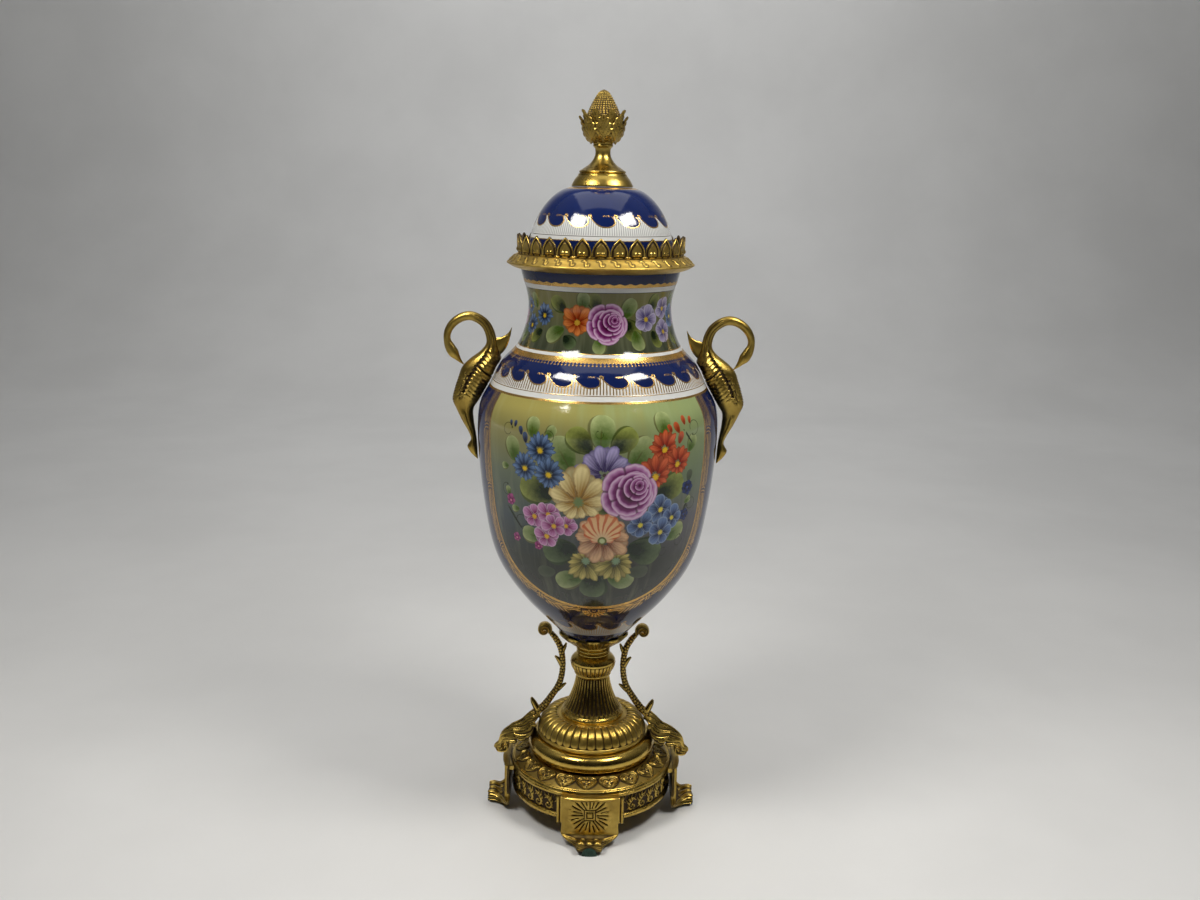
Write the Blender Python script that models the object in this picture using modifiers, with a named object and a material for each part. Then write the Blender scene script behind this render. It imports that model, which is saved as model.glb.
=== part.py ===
"""Mantel urn: a porcelain vase and lid in gilt-brass mounts, with two swan handles.

Metres, +Z up.  The origin is on the floor under the middle of the base.  The painted front faces -Y and
the swans stand at +X and -X.  Lengths below are written in millimetres and turned into metres by MM.
"""
import math

import bmesh
import bpy
from mathutils import Vector

MM = 0.001
GAP = 0.3                     # between pieces that touch

HEIGHT = 762.0                # floor to the finial's tip

# Heights where one piece hands over to the next
PAD_TOP = 3.2                 # felt pads
DRUM_BOTTOM = 24.0
DRUM_TOP = 63.5               # inner edge of the heart border
TORUS_TOP = 84.0
DOME_TOP = 105.0
STEM_TOP = 151.0
KNOP_TOP = 175.0
VASE_BOTTOM = 190.0
CALYX_TOP = 200.2
RIM_TOP = 598.0               # the vase's rim, inside the collar
COLLAR_TOP = 603.0
CROWN_TOP = 622.5
LID_TOP = 669.2
FINIAL_BOTTOM = LID_TOP + GAP

# Radii
RIM_RADIUS = 81.5
WAIST_RADIUS = 71.8
BODY_RADIUS = 124.0
COLLAR_RADIUS = 94.3
CROWN_RADIUS = 84.8
LID_RADIUS = 72.5
FINIAL_FOOT = 30.4
STEM_FOOT = 34.0
TORUS_RADIUS = 69.0
DRUM_RADIUS = 86.0
WALL = 5.0                    # porcelain

# What is counted round the axis
LEAVES = 30
FLUTES = 36
DOME_GADROONS = 36
KNOP_GADROONS = 18
HEARTS = 20
BUD_RIBS = 10


# ---------------------------------------------------------------- scene and materials

def clear_scene():
    for item in list(bpy.data.objects):
        bpy.data.objects.remove(item, do_unlink=True)
    for group in list(bpy.data.collections):
        bpy.data.collections.remove(group)


def new_collection(name):
    group = bpy.data.collections.new(name)
    bpy.context.scene.collection.children.link(group)
    return group


def principled(name, colour, roughness, metallic, coat=0.0):
    material = bpy.data.materials.new(name)
    material.use_nodes = True
    shader = material.node_tree.nodes["Principled BSDF"]
    shader.inputs["Base Color"].default_value = (*colour, 1.0)
    shader.inputs["Roughness"].default_value = roughness
    shader.inputs["Metallic"].default_value = metallic
    shader.inputs["Coat Weight"].default_value = coat
    return material


def link(mesh, name, group, material):
    item = bpy.data.objects.new(name, mesh)
    group.objects.link(item)
    mesh.materials.clear()
    mesh.materials.append(material)
    return item


def smooth_shade(mesh, degrees=40.0):
    mesh.shade_smooth()
    mesh.set_sharp_from_angle(angle=math.radians(degrees))


# ---------------------------------------------------------------- curves

def curve_through(knots, steps):
    """Points along a centripetal Catmull-Rom curve through the knots, steps to each span."""
    points = [Vector(k) for k in knots]
    points = [2 * points[0] - points[1], *points, 2 * points[-1] - points[-2]]
    out = []
    for p0, p1, p2, p3 in zip(points, points[1:], points[2:], points[3:]):
        t1 = (p1 - p0).length ** 0.5
        t2 = t1 + (p2 - p1).length ** 0.5
        t3 = t2 + (p3 - p2).length ** 0.5
        for i in range(steps):
            t = t1 + (t2 - t1) * i / steps
            a1 = p0.lerp(p1, t / t1)
            a2 = p1.lerp(p2, (t - t1) / (t2 - t1))
            a3 = p2.lerp(p3, (t - t2) / (t3 - t2))
            b1 = a1.lerp(a2, t / t2)
            b2 = a2.lerp(a3, (t - t1) / (t3 - t1))
            out.append(b1.lerp(b2, (t - t1) / (t2 - t1)))
    out.append(points[-2])
    return out


def arc(cx, cy, radius, start, end, steps):
    """Points of an arc, angles in degrees from +X."""
    angles = [math.radians(start + (end - start) * i / steps) for i in range(steps + 1)]
    return [(cx + radius * math.cos(a), cy + radius * math.sin(a)) for a in angles]


def bump(x, middle, width):
    """One at the middle and falling smoothly to nothing at half a width either side."""
    t = abs(x - middle) / (width / 2)
    return 0.5 + 0.5 * math.cos(math.pi * t) if t < 1 else 0.0


# ---------------------------------------------------------------- turned pieces

def turned(name, profile, segments, group, material, closed=False, carve=None):
    """A profile of (radius, height) turned round Z; carve(angle, r, z) then moves each point."""
    bm = bmesh.new()
    verts = [bm.verts.new((p[0] * MM, 0.0, p[1] * MM)) for p in profile]
    for a, b in zip(verts, verts[1:]):
        bm.edges.new((a, b))
    if closed:
        bm.edges.new((verts[-1], verts[0]))
    mesh = bpy.data.meshes.new(name)
    bm.to_mesh(mesh)
    bm.free()
    item = link(mesh, name, group, material)
    screw = item.modifiers.new("Turn", "SCREW")
    screw.axis = "Z"
    screw.steps = segments
    screw.render_steps = segments
    screw.use_merge_vertices = True
    screw.merge_threshold = 0.00001
    screw.use_smooth_shade = True
    if carve is None:
        return item
    baked = bpy.data.meshes.new_from_object(item.evaluated_get(bpy.context.evaluated_depsgraph_get()))
    bpy.data.objects.remove(item, do_unlink=True)
    bpy.data.meshes.remove(mesh)
    for vertex in baked.vertices:
        x, y, z = (c / MM for c in vertex.co)
        if math.hypot(x, y) > 0.01:
            angle = math.atan2(y, x)
            r, z = carve(angle, math.hypot(x, y), z)
            vertex.co = (r * math.cos(angle) * MM, r * math.sin(angle) * MM, z * MM)
    baked.name = name
    smooth_shade(baked)
    return link(baked, name, group, material)


def vase_outline():
    """The vase's outer side from the rim down to the foot."""
    neck = [(RIM_RADIUS, RIM_TOP), (RIM_RADIUS - 0.9, 588.0), (WAIST_RADIUS, 553.0), (83.5, 511.0)]
    shoulder = [(99.0, 496.5), (111.0, 471.5), (121.5, 454.0)]
    body = [(BODY_RADIUS, 428.0), (117.3, 350.0), (104.5, 292.0), (78.5, 250.0), (46.5, 215.0)]
    return [*neck, *shoulder, *body, (33.0, 199.5), (22.0, VASE_BOTTOM)]


def make_vase(group, material):
    outer = curve_through(vase_outline(), 2)
    outer = [p for i, p in enumerate(outer) if i not in (1, 9, 11, 13, 21, 23)]
    inner = [(0.0, VASE_BOTTOM + 8.0), (27.0, 202.0), (73.0, 253.0), (99.5, 296.0), (112.3, 352.0),
             (BODY_RADIUS - WALL, 430.0), (106.0, 470.0), (78.0, 511.0), (WAIST_RADIUS - WALL, 553.0),
             (RIM_RADIUS - WALL, RIM_TOP)]
    profile = [*inner, *outer, (0.0, VASE_BOTTOM)]
    turned("vase", profile, 28, group, material)


def make_lid(group, material):
    bottom = COLLAR_TOP + GAP
    outer = curve_through([(FINIAL_FOOT, LID_TOP - 0.2), (41.0, 665.4), (55.0, 653.3), (66.0, 635.5),
                           (71.6, 617.0), (LID_RADIUS, bottom)], 1)
    lip = [(69.8, bottom), (69.4, 593.0), (65.6, 593.0)]
    inner = [(67.0, 617.0), (61.8, 634.5), (51.0, 650.5), (37.0, 661.3), (0.0, 664.8)]
    profile = [(0.0, LID_TOP), *outer, *lip, *inner]
    turned("lid_dome", profile, 24, group, material)


def make_collar(group, material):
    profile = [(71.2, COLLAR_TOP), (84.4, COLLAR_TOP), (88.6, 600.2), (COLLAR_RADIUS, 595.0),
               (COLLAR_RADIUS, 593.2), (82.0, 588.6), (82.0, RIM_TOP + GAP), (71.2, RIM_TOP + GAP)]
    turned("mouth_flange", profile, 28, group, material, closed=True)


def make_crown(group, material):
    """A thin ring whose top edge rises to a point at the middle of each leaf."""
    bottom = COLLAR_TOP + GAP
    outer, valley = CROWN_RADIUS - 0.6, 608.0

    def leaves(angle, r, z):
        if z > bottom + 1:
            up = 0.5 + 0.5 * math.cos(angle * LEAVES)
            z = valley + (CROWN_TOP - valley) * up
            r += 0.6 * up
        return r, z

    profile = [(outer - 0.6, valley), (outer, bottom), (outer - 3.0, bottom)]
    turned("leaf_crown", profile, 2 * LEAVES, group, material, closed=True, carve=leaves)


def make_finial(group, material):
    foot = [(0.0, FINIAL_BOTTOM), (FINIAL_FOOT, FINIAL_BOTTOM), (FINIAL_FOOT, 671.2), (24.2, 680.3),
            (22.3, 682.2), (22.9, 684.6), (12.8, 691.5), (7.9, 699.0), (7.8, 706.8), (9.7, 708.4)]
    bud = [(9.3, 710.6), (17.8, 718.8), (21.4, 728.0), (21.4, 735.5), (17.2, 739.5), (14.3, 747.0),
           (9.4, 755.0), (0.0, HEIGHT)]

    def leaves_and_ribs(angle, r, z):
        if 715 < z < 738:
            r += 1.6 * math.cos(angle * BUD_RIBS) * bump(z, 733.0, 36.0)
            z += 3.0 * max(0.0, math.cos(angle * BUD_RIBS)) * bump(z, 735.0, 8.0)
        elif z > 738:
            r *= 1 + 0.06 * math.cos(angle * BUD_RIBS)
        return r, z

    profile = [*foot, *bud][::-1]
    turned("finial", profile, 2 * BUD_RIBS, group, material, carve=leaves_and_ribs)


def make_calyx(group, material):
    """Three stacked rings and the leafy cup that holds the vase's foot."""
    bottom = KNOP_TOP + GAP
    ring, waist, pitch = 18.0, 16.6, 3.9
    rings = [(0.0, bottom), (ring - 1.0, bottom)]
    for i in range(3):
        rings += [(ring, bottom + pitch * (i + 0.5)), (waist, bottom + pitch * (i + 1))]
    cup = [(23.5, 187.9), (37.4, CALYX_TOP), (36.6, CALYX_TOP + 0.6)]
    seat = [(23.6, VASE_BOTTOM - GAP), (0.0, VASE_BOTTOM - GAP)]

    def scallops(angle, r, z):
        return r, z + (1.2 * math.cos(angle * 10) if z > CALYX_TOP - 1 else 0.0)

    turned("calyx", [*rings, *cup, *seat][::-1], 20, group, material, carve=scallops)


def make_knop(group, material):
    bottom = STEM_TOP + GAP
    profile = [(0.0, bottom), (18.6, bottom), (18.6, 154.6), (21.8, 158.6), (24.0, 165.5), (23.9, 169.5),
               (21.2, 173.0), (17.2, KNOP_TOP), (0.0, KNOP_TOP)]

    def gadroons(angle, r, z):
        return r + 1.7 * math.cos(angle * KNOP_GADROONS) * bump(z, 160.5, 16.0), z

    turned("knop", profile[::-1], 2 * KNOP_GADROONS, group, material, carve=gadroons)


def make_stem(group, material):
    bottom = DOME_TOP + GAP
    flare = [(31.6, 111.0), (25.0, 124.0), (19.8, 139.0), (17.6, STEM_TOP)]
    profile = [(0.0, bottom), (STEM_FOOT, bottom), (STEM_FOOT, 108.6), *flare, (0.0, STEM_TOP)]

    def flutes(angle, r, z):
        return r * (1 + 0.045 * math.cos(angle * FLUTES) * bump(z, 129.0, 42.0)), z

    turned("stem", profile[::-1], 2 * FLUTES, group, material, carve=flutes)


def make_base_dome(group, material):
    bottom = TORUS_TOP + GAP
    profile = [(0.0, bottom), (57.2, bottom), (59.6, 89.6), (56.0, 98.4), (46.5, 105.4),
               (STEM_FOOT + 0.8, DOME_TOP), (0.0, DOME_TOP)]

    def gadroons(angle, r, z):
        lift = math.cos(angle * DOME_GADROONS) * bump(r, 52.0, 30.0) if z > bottom + 1 else 0.0
        lean = (r - STEM_FOOT) / (60.0 - STEM_FOOT)
        return r + 1.3 * lift * lean, z + 1.3 * lift * (1 - 0.6 * lean)

    turned("base_dome", profile[::-1], 2 * DOME_GADROONS, group, material, carve=gadroons)


def make_base_torus(group, material):
    middle, tube = 73.6, 10.4
    outside = arc(TORUS_RADIUS - tube, middle, tube, 90, -62, 5)
    bottom = DRUM_TOP + GAP
    profile = [(38.0, bottom), (38.0, TORUS_TOP), *outside, (TORUS_RADIUS - 5.6, bottom)]
    profile = [profile[1], *profile[2:], profile[0]]
    turned("base_torus", profile, 24, group, material, closed=True)


def make_base_drum(group, material):
    """Heart border, stepped rim and frieze; hollow underneath."""
    r = DRUM_RADIUS
    profile = [(58.0, DRUM_TOP), (68.5, DRUM_TOP), (73.6, 61.8), (81.0, 58.8), (r - 0.6, 57.0),
               (r + 2.0, 55.6), (r + 2.0, 50.2), (r - 0.4, 48.4), (r - 0.4, 28.0), (r + 1.2, DRUM_BOTTOM),
               (r - 4.0, DRUM_BOTTOM), (r - 4.0, 52.0)]

    def hearts(angle, radius, z):
        middle = math.cos(angle * HEARTS) * bump(radius, 75.5, 20.0)
        return radius, z + (1.9 * middle if z > 58.0 else 0.0)

    turned("base_drum", profile, 2 * HEARTS, group, material, closed=True, carve=hearts)


# ---------------------------------------------------------------- lofted pieces

def skin(bm, rings):
    """Join rings of equally many points one after another, with a flat cap at each end."""
    rows = [[bm.verts.new(Vector(p) * MM) for p in ring] for ring in rings]
    count = len(rows[0])
    for low, high in zip(rows, rows[1:]):
        for i in range(count):
            j = (i + 1) % count
            bm.faces.new((low[i], low[j], high[j], high[i]))
    bm.faces.new(rows[0][::-1])
    bm.faces.new(rows[-1])
    bmesh.ops.recalc_face_normals(bm, faces=bm.faces)


def oval_ring(x, z, turn, half_in, half_across, sides=8, start=0.0):
    """An oval square to a direction in the XZ plane; turn is that direction, degrees from +X."""
    a = math.radians(turn)
    side = (math.sin(a), -math.cos(a))
    ring = []
    for i in range(sides):
        t = 2 * math.pi * (i + start) / sides
        u, y = half_in * math.cos(t), half_across * math.sin(t)
        ring.append((x + side[0] * u, y, z + side[1] * u))
    return ring


def sweep(stations, sides=8, start=0.0):
    """Ovals along stations of (x, z, half_in, half_across), each square to the run of its neighbours."""
    rings = []
    for i, (x, z, half_in, half_across) in enumerate(stations):
        before, after = stations[max(i - 1, 0)], stations[min(i + 1, len(stations) - 1)]
        turn = math.degrees(math.atan2(after[1] - before[1], after[0] - before[0]))
        rings.append(oval_ring(x, z, turn, half_in, half_across, sides, start))
    return rings


def mesh_of(build):
    """A mesh made by build(bm)."""
    bm = bmesh.new()
    build(bm)
    bmesh.ops.recalc_face_normals(bm, faces=bm.faces)
    mesh = bpy.data.meshes.new("shape")
    bm.to_mesh(mesh)
    bm.free()
    return mesh


def plate_mesh(outline, y_half):
    """A flat outline of (x, z) points, given a thickness along Y."""
    return mesh_of(lambda bm: skin(bm, [[(x, y, z) for x, z in outline] for y in (-y_half, y_half)]))


def box_mesh(low, high):
    def build(bm):
        bmesh.ops.create_cube(bm, size=1.0)
        for vertex in bm.verts:
            vertex.co = Vector(((a if c < 0 else b) * MM for c, a, b in zip(vertex.co, low, high)))
    return mesh_of(build)


def union(name, meshes, group, cutters, material):
    """One body from overlapping shapes: the first is kept, the others are joined to it."""
    body = link(meshes[0], name, group, material)
    for i, mesh in enumerate(meshes[1:]):
        other = link(mesh, f"{name}_join_{i}", cutters, material)
        other.hide_render = True
        other.display_type = "WIRE"
        join = body.modifiers.new("Join", "BOOLEAN")
        join.operation = "UNION"
        join.solver = "EXACT"
        join.object = other
    baked = bpy.data.meshes.new_from_object(body.evaluated_get(bpy.context.evaluated_depsgraph_get()))
    bpy.data.objects.remove(body, do_unlink=True)
    for item in list(cutters.objects):
        bpy.data.objects.remove(item, do_unlink=True)
    smooth_shade(baked)
    baked.name = name
    return baked


def place(mesh, name, turn, group, material):
    item = link(mesh, name, group, material)
    item.rotation_euler.z = math.radians(turn)
    return item


# ---------------------------------------------------------------- legs and pads

LEG_FACE = 93.6               # outer face of a plaque
LEG_BACK = DRUM_RADIUS + 2.0 + GAP
LEG_TOP = 55.0
PLAQUE_HALF = 29.5
STRIP_HALF = 35.2


def leg_mesh(group, cutters, material):
    """A plaque that bends out at the bottom into a narrow scroll foot."""
    foot_low = PAD_TOP + GAP

    def bar(x0, x1, z0, z1, half):
        return [(x0, -half, z0), (x1, -half, z1), (x1, half, z1), (x0, half, z0)]

    def build(bm):
        skin(bm, [bar(LEG_BACK, LEG_FACE, LEG_TOP, LEG_TOP, PLAQUE_HALF),
                  bar(LEG_BACK, LEG_FACE, 13.0, 14.0, PLAQUE_HALF),
                  bar(LEG_BACK + 0.8, LEG_FACE + 2.0, 7.6, 11.6, 27.0),
                  bar(LEG_BACK + 4.5, 98.6, foot_low, 10.6, 18.5),
                  bar(101.5, 103.0, foot_low, 13.2, 13.0),
                  bar(108.5, 107.5, foot_low, 16.6, 11.5),
                  bar(113.2, 113.2, foot_low + 3.5, 12.5, 10.0)])

    strips = [box_mesh((LEG_BACK, min(a, b), 24.0), (LEG_FACE - 2.4, max(a, b), LEG_TOP - 0.4))
              for a, b in ((PLAQUE_HALF - 2.0, STRIP_HALF), (2.0 - PLAQUE_HALF, -STRIP_HALF))]
    middle = (LEG_TOP + 14.0) / 2
    star = []
    for i in range(16):
        t, r = math.pi * (i + 0.5) / 8, 20.0 if i % 2 else 14.0
        star.append((r * math.cos(t), middle + r * math.sin(t)))
    rosette = mesh_of(lambda bm: skin(bm, [[(x, y, z) for y, z in star]
                                           for x in (LEG_FACE - 2.0, LEG_FACE + 1.2)]))
    boss = box_mesh((LEG_FACE - 1.0, -4.2, middle - 4.2), (LEG_FACE + 2.2, 4.2, middle + 4.2))
    return union("leg", [mesh_of(build), *strips, rosette, boss], group, cutters, material)


def pad_mesh():
    """A thin oval pad under a foot."""
    return mesh_of(lambda bm: skin(bm, [[(104.4 + 8.8 * math.cos(a), 6.6 * math.sin(a), z)
                                         for a in (math.tau * i / 8 for i in range(8))]
                                        for z in (0.0, PAD_TOP)]))


# ---------------------------------------------------------------- arms

def arm_mesh(group, cutters, material):
    """A scroll arm that climbs from an acanthus leaf over the torus to a volute under the vase."""
    line = curve_through([(64.0, 103.0), (55.0, 110.0), (45.5, 123.0), (36.8, 138.0), (33.4, 152.0),
                          (33.2, 168.0), (36.0, 182.0), (41.5, 192.0), (48.0, 198.0)], 1)
    width = [5.0, 4.4, 3.9, 3.6, 3.4, 3.4, 3.6, 3.8, 4.0]
    bar = mesh_of(lambda bm: skin(bm, sweep([(p[0], p[1], w, w) for p, w in zip(line, width)], 6, 0.5)))
    volute = plate_mesh(arc(53.4, 202.2, 7.8, 0, 330, 11), 5.0)
    eye = plate_mesh(arc(53.9, 201.8, 3.4, 0, 300, 5), 6.6)

    def sprig(x, z, tip_x, tip_z, size):
        return mesh_of(lambda bm: skin(bm, sweep([(x, z, size, size), (tip_x, tip_z, 0.5, 0.5)], 4, 0.5)))

    sprigs = [sprig(34.0, 176.0, 28.8, 187.0, 2.4), sprig(34.4, 160.0, 40.6, 171.5, 2.6),
              sprig(38.6, 131.0, 29.4, 139.0, 2.4), sprig(60.0, 106.0, 65.8, 119.4, 3.0)]

    ridge = [(57.0, 106.5), (66.5, 105.4), (77.5, 95.6), (91.0, 87.6), (99.2, 79.0), (102.6, 69.0),
             (107.4, 63.4), (104.5, 58.6)]
    half = [5.0, 10.0, 13.5, 14.0, 12.5, 9.5, 6.0, 3.0]
    drop = [4.0, 9.0, 13.5, 13.0, 9.5, 6.0, 2.5, 1.0]
    thick = [4.0, 5.0, 4.2, 3.6, 3.4, 3.2, 3.0, 2.0]

    def arch(i):
        before, after = ridge[max(i - 1, 0)], ridge[min(i + 1, len(ridge) - 1)]
        run = Vector((after[0] - before[0], after[1] - before[1])).normalized()
        up = Vector((-run[1], run[0])) if run[0] > 0 or i > 5 else Vector((run[1], -run[0]))
        w, d, t = half[i], drop[i], thick[i]
        shape = [(0.0, 0.0), (0.62 * w, -0.3 * d), (w, -d), (0.86 * w, -d - 0.5 * t), (0.5 * w, -0.3 * d - t),
                 (0.0, -t), (-0.5 * w, -0.3 * d - t), (-0.86 * w, -d - 0.5 * t), (-w, -d), (-0.62 * w, -0.3 * d)]
        return [(ridge[i][0] + up[0] * v, y, ridge[i][1] + up[1] * v) for y, v in shape]

    leaf = mesh_of(lambda bm: skin(bm, [arch(i) for i in range(len(ridge))]))
    return union("arm", [leaf, bar, volute, eye, *sprigs], group, cutters, material)


# ---------------------------------------------------------------- swans

def body_section(x_in, x_out, z, half, wing):
    """Level cut through a swan's body; the folded wings stand out beside the edge that faces the vase."""
    wide = half + wing
    side = [(0.0, 0.72 * wide), (0.22, wide), (0.55, half), (0.86, 0.58 * half)]
    ring = [(0.0, 0.0), *side, (1.0, 0.0), *((t, -y) for t, y in reversed(side))]
    return [(x_in + t * (x_out - x_in), y, z) for t, y in ring]


def swan_mesh(group, cutters, material):
    """Beak, head and neck loop, body with folded wings, and a long leg that ends in a scroll and a point."""
    head = [(138.6, 489.0, 0.5, 0.5), (141.6, 491.8, 1.5, 1.4), (145.4, 496.0, 3.2, 2.8),
            (149.6, 500.0, 4.8, 4.0), (153.4, 505.5, 4.1, 3.8)]
    neck = [(155.8, 513.5, 3.5, 3.7), (154.6, 522.5, 3.8, 4.0), (149.4, 531.0, 4.3, 4.4),
            (140.6, 537.4, 4.7, 4.7), (131.8, 539.0, 4.9, 4.8), (123.6, 536.4, 4.6, 4.8),
            (115.8, 530.2, 4.6, 4.9), (111.4, 521.0, 4.8, 5.0), (110.0, 512.0, 5.2, 5.6)]
    body = [(102.4, 121.0, 503.0, 8.0, 1.5), (100.8, 130.0, 495.0, 11.0, 3.5), (105.8, 138.0, 486.5, 12.5, 4.5),
            (110.4, 144.0, 476.5, 12.5, 4.5), (116.6, 147.8, 465.0, 11.5, 3.0), (123.2, 150.2, 452.5, 9.5, 0.5),
            (128.6, 146.6, 443.4, 8.0, 0.0), (128.6, 140.8, 431.0, 6.6, 0.0), (126.6, 133.6, 418.0, 5.2, 0.0),
            (125.0, 135.0, 403.5, 5.6, 0.0), (124.8, 132.6, 397.6, 4.4, 0.0), (124.5, 125.5, 390.0, 0.8, 0.0)]
    rings = [*sweep(head + neck, 10), *(body_section(*station) for station in body)]
    swan = mesh_of(lambda bm: skin(bm, rings))
    fin = plate_mesh([(112.0, 515.0), (105.0, 516.6), (98.5, 518.0), (93.6, 521.0), (88.6, 526.6),
                      (91.0, 513.5), (98.5, 500.8), (108.0, 496.0)], 1.6)
    return union("swan", [swan, fin], group, cutters, material)


# ---------------------------------------------------------------- the whole urn

def main():
    clear_scene()
    urn = new_collection("mantel_urn")
    cutters = new_collection("cutters")

    def brass(name, colour=(0.62, 0.42, 0.13), roughness=0.3):
        return principled(name, colour, roughness, 1.0)

    make_vase(urn, principled("porcelain_vase", (0.10, 0.13, 0.30), 0.12, 0.0, 0.8))
    make_lid(urn, principled("porcelain_lid", (0.06, 0.09, 0.36), 0.12, 0.0, 0.8))
    make_collar(urn, brass("collar_brass", (0.70, 0.50, 0.20), 0.4))
    make_crown(urn, brass("crown_brass", (0.48, 0.34, 0.10)))
    make_finial(urn, brass("finial_brass"))
    make_calyx(urn, brass("calyx_brass"))
    make_knop(urn, brass("knop_brass"))
    make_stem(urn, brass("stem_brass"))
    make_base_dome(urn, brass("dome_brass"))
    make_base_torus(urn, brass("torus_brass", (0.68, 0.47, 0.14), 0.22))
    make_base_drum(urn, brass("drum_brass"))

    leg = leg_mesh(urn, cutters, brass("leg_template"))
    pad = pad_mesh()
    for side, turn in (("right", 0), ("back", 90), ("left", 180), ("front", 270)):
        place(leg.copy(), f"leg_{side}", turn, urn, brass(f"leg_{side}_brass"))
        felt = principled(f"felt_{side}_green", (0.01, 0.10, 0.05), 0.9, 0.0)
        place(pad.copy(), f"felt_{side}", turn, urn, felt)

    arm = arm_mesh(urn, cutters, brass("arm_template"))
    swan = swan_mesh(urn, cutters, brass("swan_template", (0.50, 0.34, 0.12)))
    for side, turn in (("right", 0), ("left", 180)):
        place(arm.copy(), f"arm_{side}", turn, urn, brass(f"arm_{side}_brass"))
        place(swan.copy(), f"swan_{side}", turn, urn, brass(f"swan_{side}_brass", (0.50, 0.34, 0.12)))


if __name__ == "__main__":
    main()
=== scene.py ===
"""Mantel urn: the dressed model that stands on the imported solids.

The urn is a covered porcelain vase in gilt-brass mounts.  Every piece is a surface worked out with numpy: a profile
turned round Z, an outline carried along a path, or a leaf over two parameters, each with its carving laid on as a
height.  Lengths in the functions are millimetres and angles are radians, counted from the painted front (-Y) towards
the right-hand swan (+X).
"""
import math

import bmesh
import bpy
import numpy as np
from bpy.props import FloatProperty, FloatVectorProperty, IntProperty, PointerProperty
from mathutils import Matrix, Vector


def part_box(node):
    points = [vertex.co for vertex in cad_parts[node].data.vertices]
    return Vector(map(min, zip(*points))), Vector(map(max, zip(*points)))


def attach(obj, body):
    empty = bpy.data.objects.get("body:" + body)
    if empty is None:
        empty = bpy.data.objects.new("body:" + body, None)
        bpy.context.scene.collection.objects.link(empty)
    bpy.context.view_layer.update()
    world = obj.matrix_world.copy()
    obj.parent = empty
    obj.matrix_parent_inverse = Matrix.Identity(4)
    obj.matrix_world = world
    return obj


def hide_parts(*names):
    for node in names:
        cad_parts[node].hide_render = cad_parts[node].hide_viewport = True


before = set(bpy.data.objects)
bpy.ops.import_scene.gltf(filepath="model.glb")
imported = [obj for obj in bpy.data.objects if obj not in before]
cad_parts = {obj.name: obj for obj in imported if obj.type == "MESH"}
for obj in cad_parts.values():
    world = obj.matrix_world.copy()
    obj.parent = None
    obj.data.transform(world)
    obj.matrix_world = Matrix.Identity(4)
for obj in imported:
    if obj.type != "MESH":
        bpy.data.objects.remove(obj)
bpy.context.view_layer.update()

bl_info = {
    "name": "Mantel Urn",
    "version": (1, 0, 0),
    "blender": (4, 5, 0),
    "location": "View3D > Sidebar > Urn",
    "description": "Builds a covered porcelain urn in gilt-brass mounts round its solids",
    "category": "Add Mesh",
}

MM = 0.001
TURN = 2 * math.pi
PLAIN = 0.8      # relief of metal that carries no carving, between the recesses at 0 and the crests at 1


def node_box(node):
    """Lowest and highest corner of a solid, in millimetres."""
    low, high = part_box(node)
    return np.array(low) / MM, np.array(high) / MM


# ---- sizes and colours

def count_property(name, description, default):
    """How often something repeats round the urn."""
    return IntProperty(name=name, description=description, default=default, min=3)


def colour_property(name, description, *default):
    """A colour that can be changed."""
    return FloatVectorProperty(name=name, description=description, subtype="COLOR", default=default)


class UrnSizes(bpy.types.PropertyGroup):
    """What is counted round the urn, and the depth of its carving."""
    leaves: count_property("Gallery leaves", "Upright leaves on the collar", 30)
    flutes: count_property("Flutes", "Channels round the stem", 36)
    gadroons: count_property("Gadroons", "Lobes round the dome", 40)
    knop_gadroons: count_property("Knop gadroons", "Lobes round the knop", 32)
    hearts: count_property("Hearts", "Medallions on the drum's slope", 20)
    scrolls: count_property("Frieze scrolls", "Curled leaves round the drum", 40)
    marks: count_property("Collar marks", "Small hooks round the collar", 40)
    shoulder_waves: count_property("Shoulder waves", "Waves round the shoulder", 24)
    lid_waves: count_property("Lid waves", "Waves round the lid", 16)
    carving: FloatProperty(name="Carving", description="Depth of all carving, 1 as cast", default=1.0, min=0.0,
                           subtype="FACTOR")
    floor: FloatProperty(name="Floor", description="Width of the floor", default=12.0, unit="LENGTH")


class UrnColours(bpy.types.PropertyGroup):
    """Colours of the brass, the glaze and the ground."""
    gold: colour_property("Gilding", "Polished gilt brass", 0.62, 0.44, 0.105)
    patina: colour_property("Patina", "Dark tone left in the recesses", 0.036, 0.021, 0.007)
    cobalt: colour_property("Cobalt", "Blue ground of the porcelain", 0.0045, 0.0115, 0.065)
    white: colour_property("Porcelain", "Bare glazed porcelain", 0.60, 0.605, 0.59)
    paint_gold: colour_property("Painted gold", "Gold laid on the glaze", 0.68, 0.42, 0.12)
    felt: colour_property("Felt", "Pads under the feet", 0.0027, 0.0338, 0.0180)
    floor: colour_property("Floor", "Pale ground", 0.80, 0.80, 0.79)


def sizes():
    return bpy.context.scene.urn_sizes


def colours():
    return bpy.context.scene.urn_colours


def dimmed(colour, *factor):
    """A colour times one number, or times a number for each channel."""
    return tuple(c * f for c, f in zip(colour, factor * (3 // len(factor))))


# ---- shader trees

def math_node(operation):
    """A method that adds one Math node to the tree."""
    return lambda self, *others: self.maths(operation, *others)


def reflected(operation):
    """The same where the wire stands on the right of a number."""
    return lambda self, other: self.tree.number(other).maths(operation, self)


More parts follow.
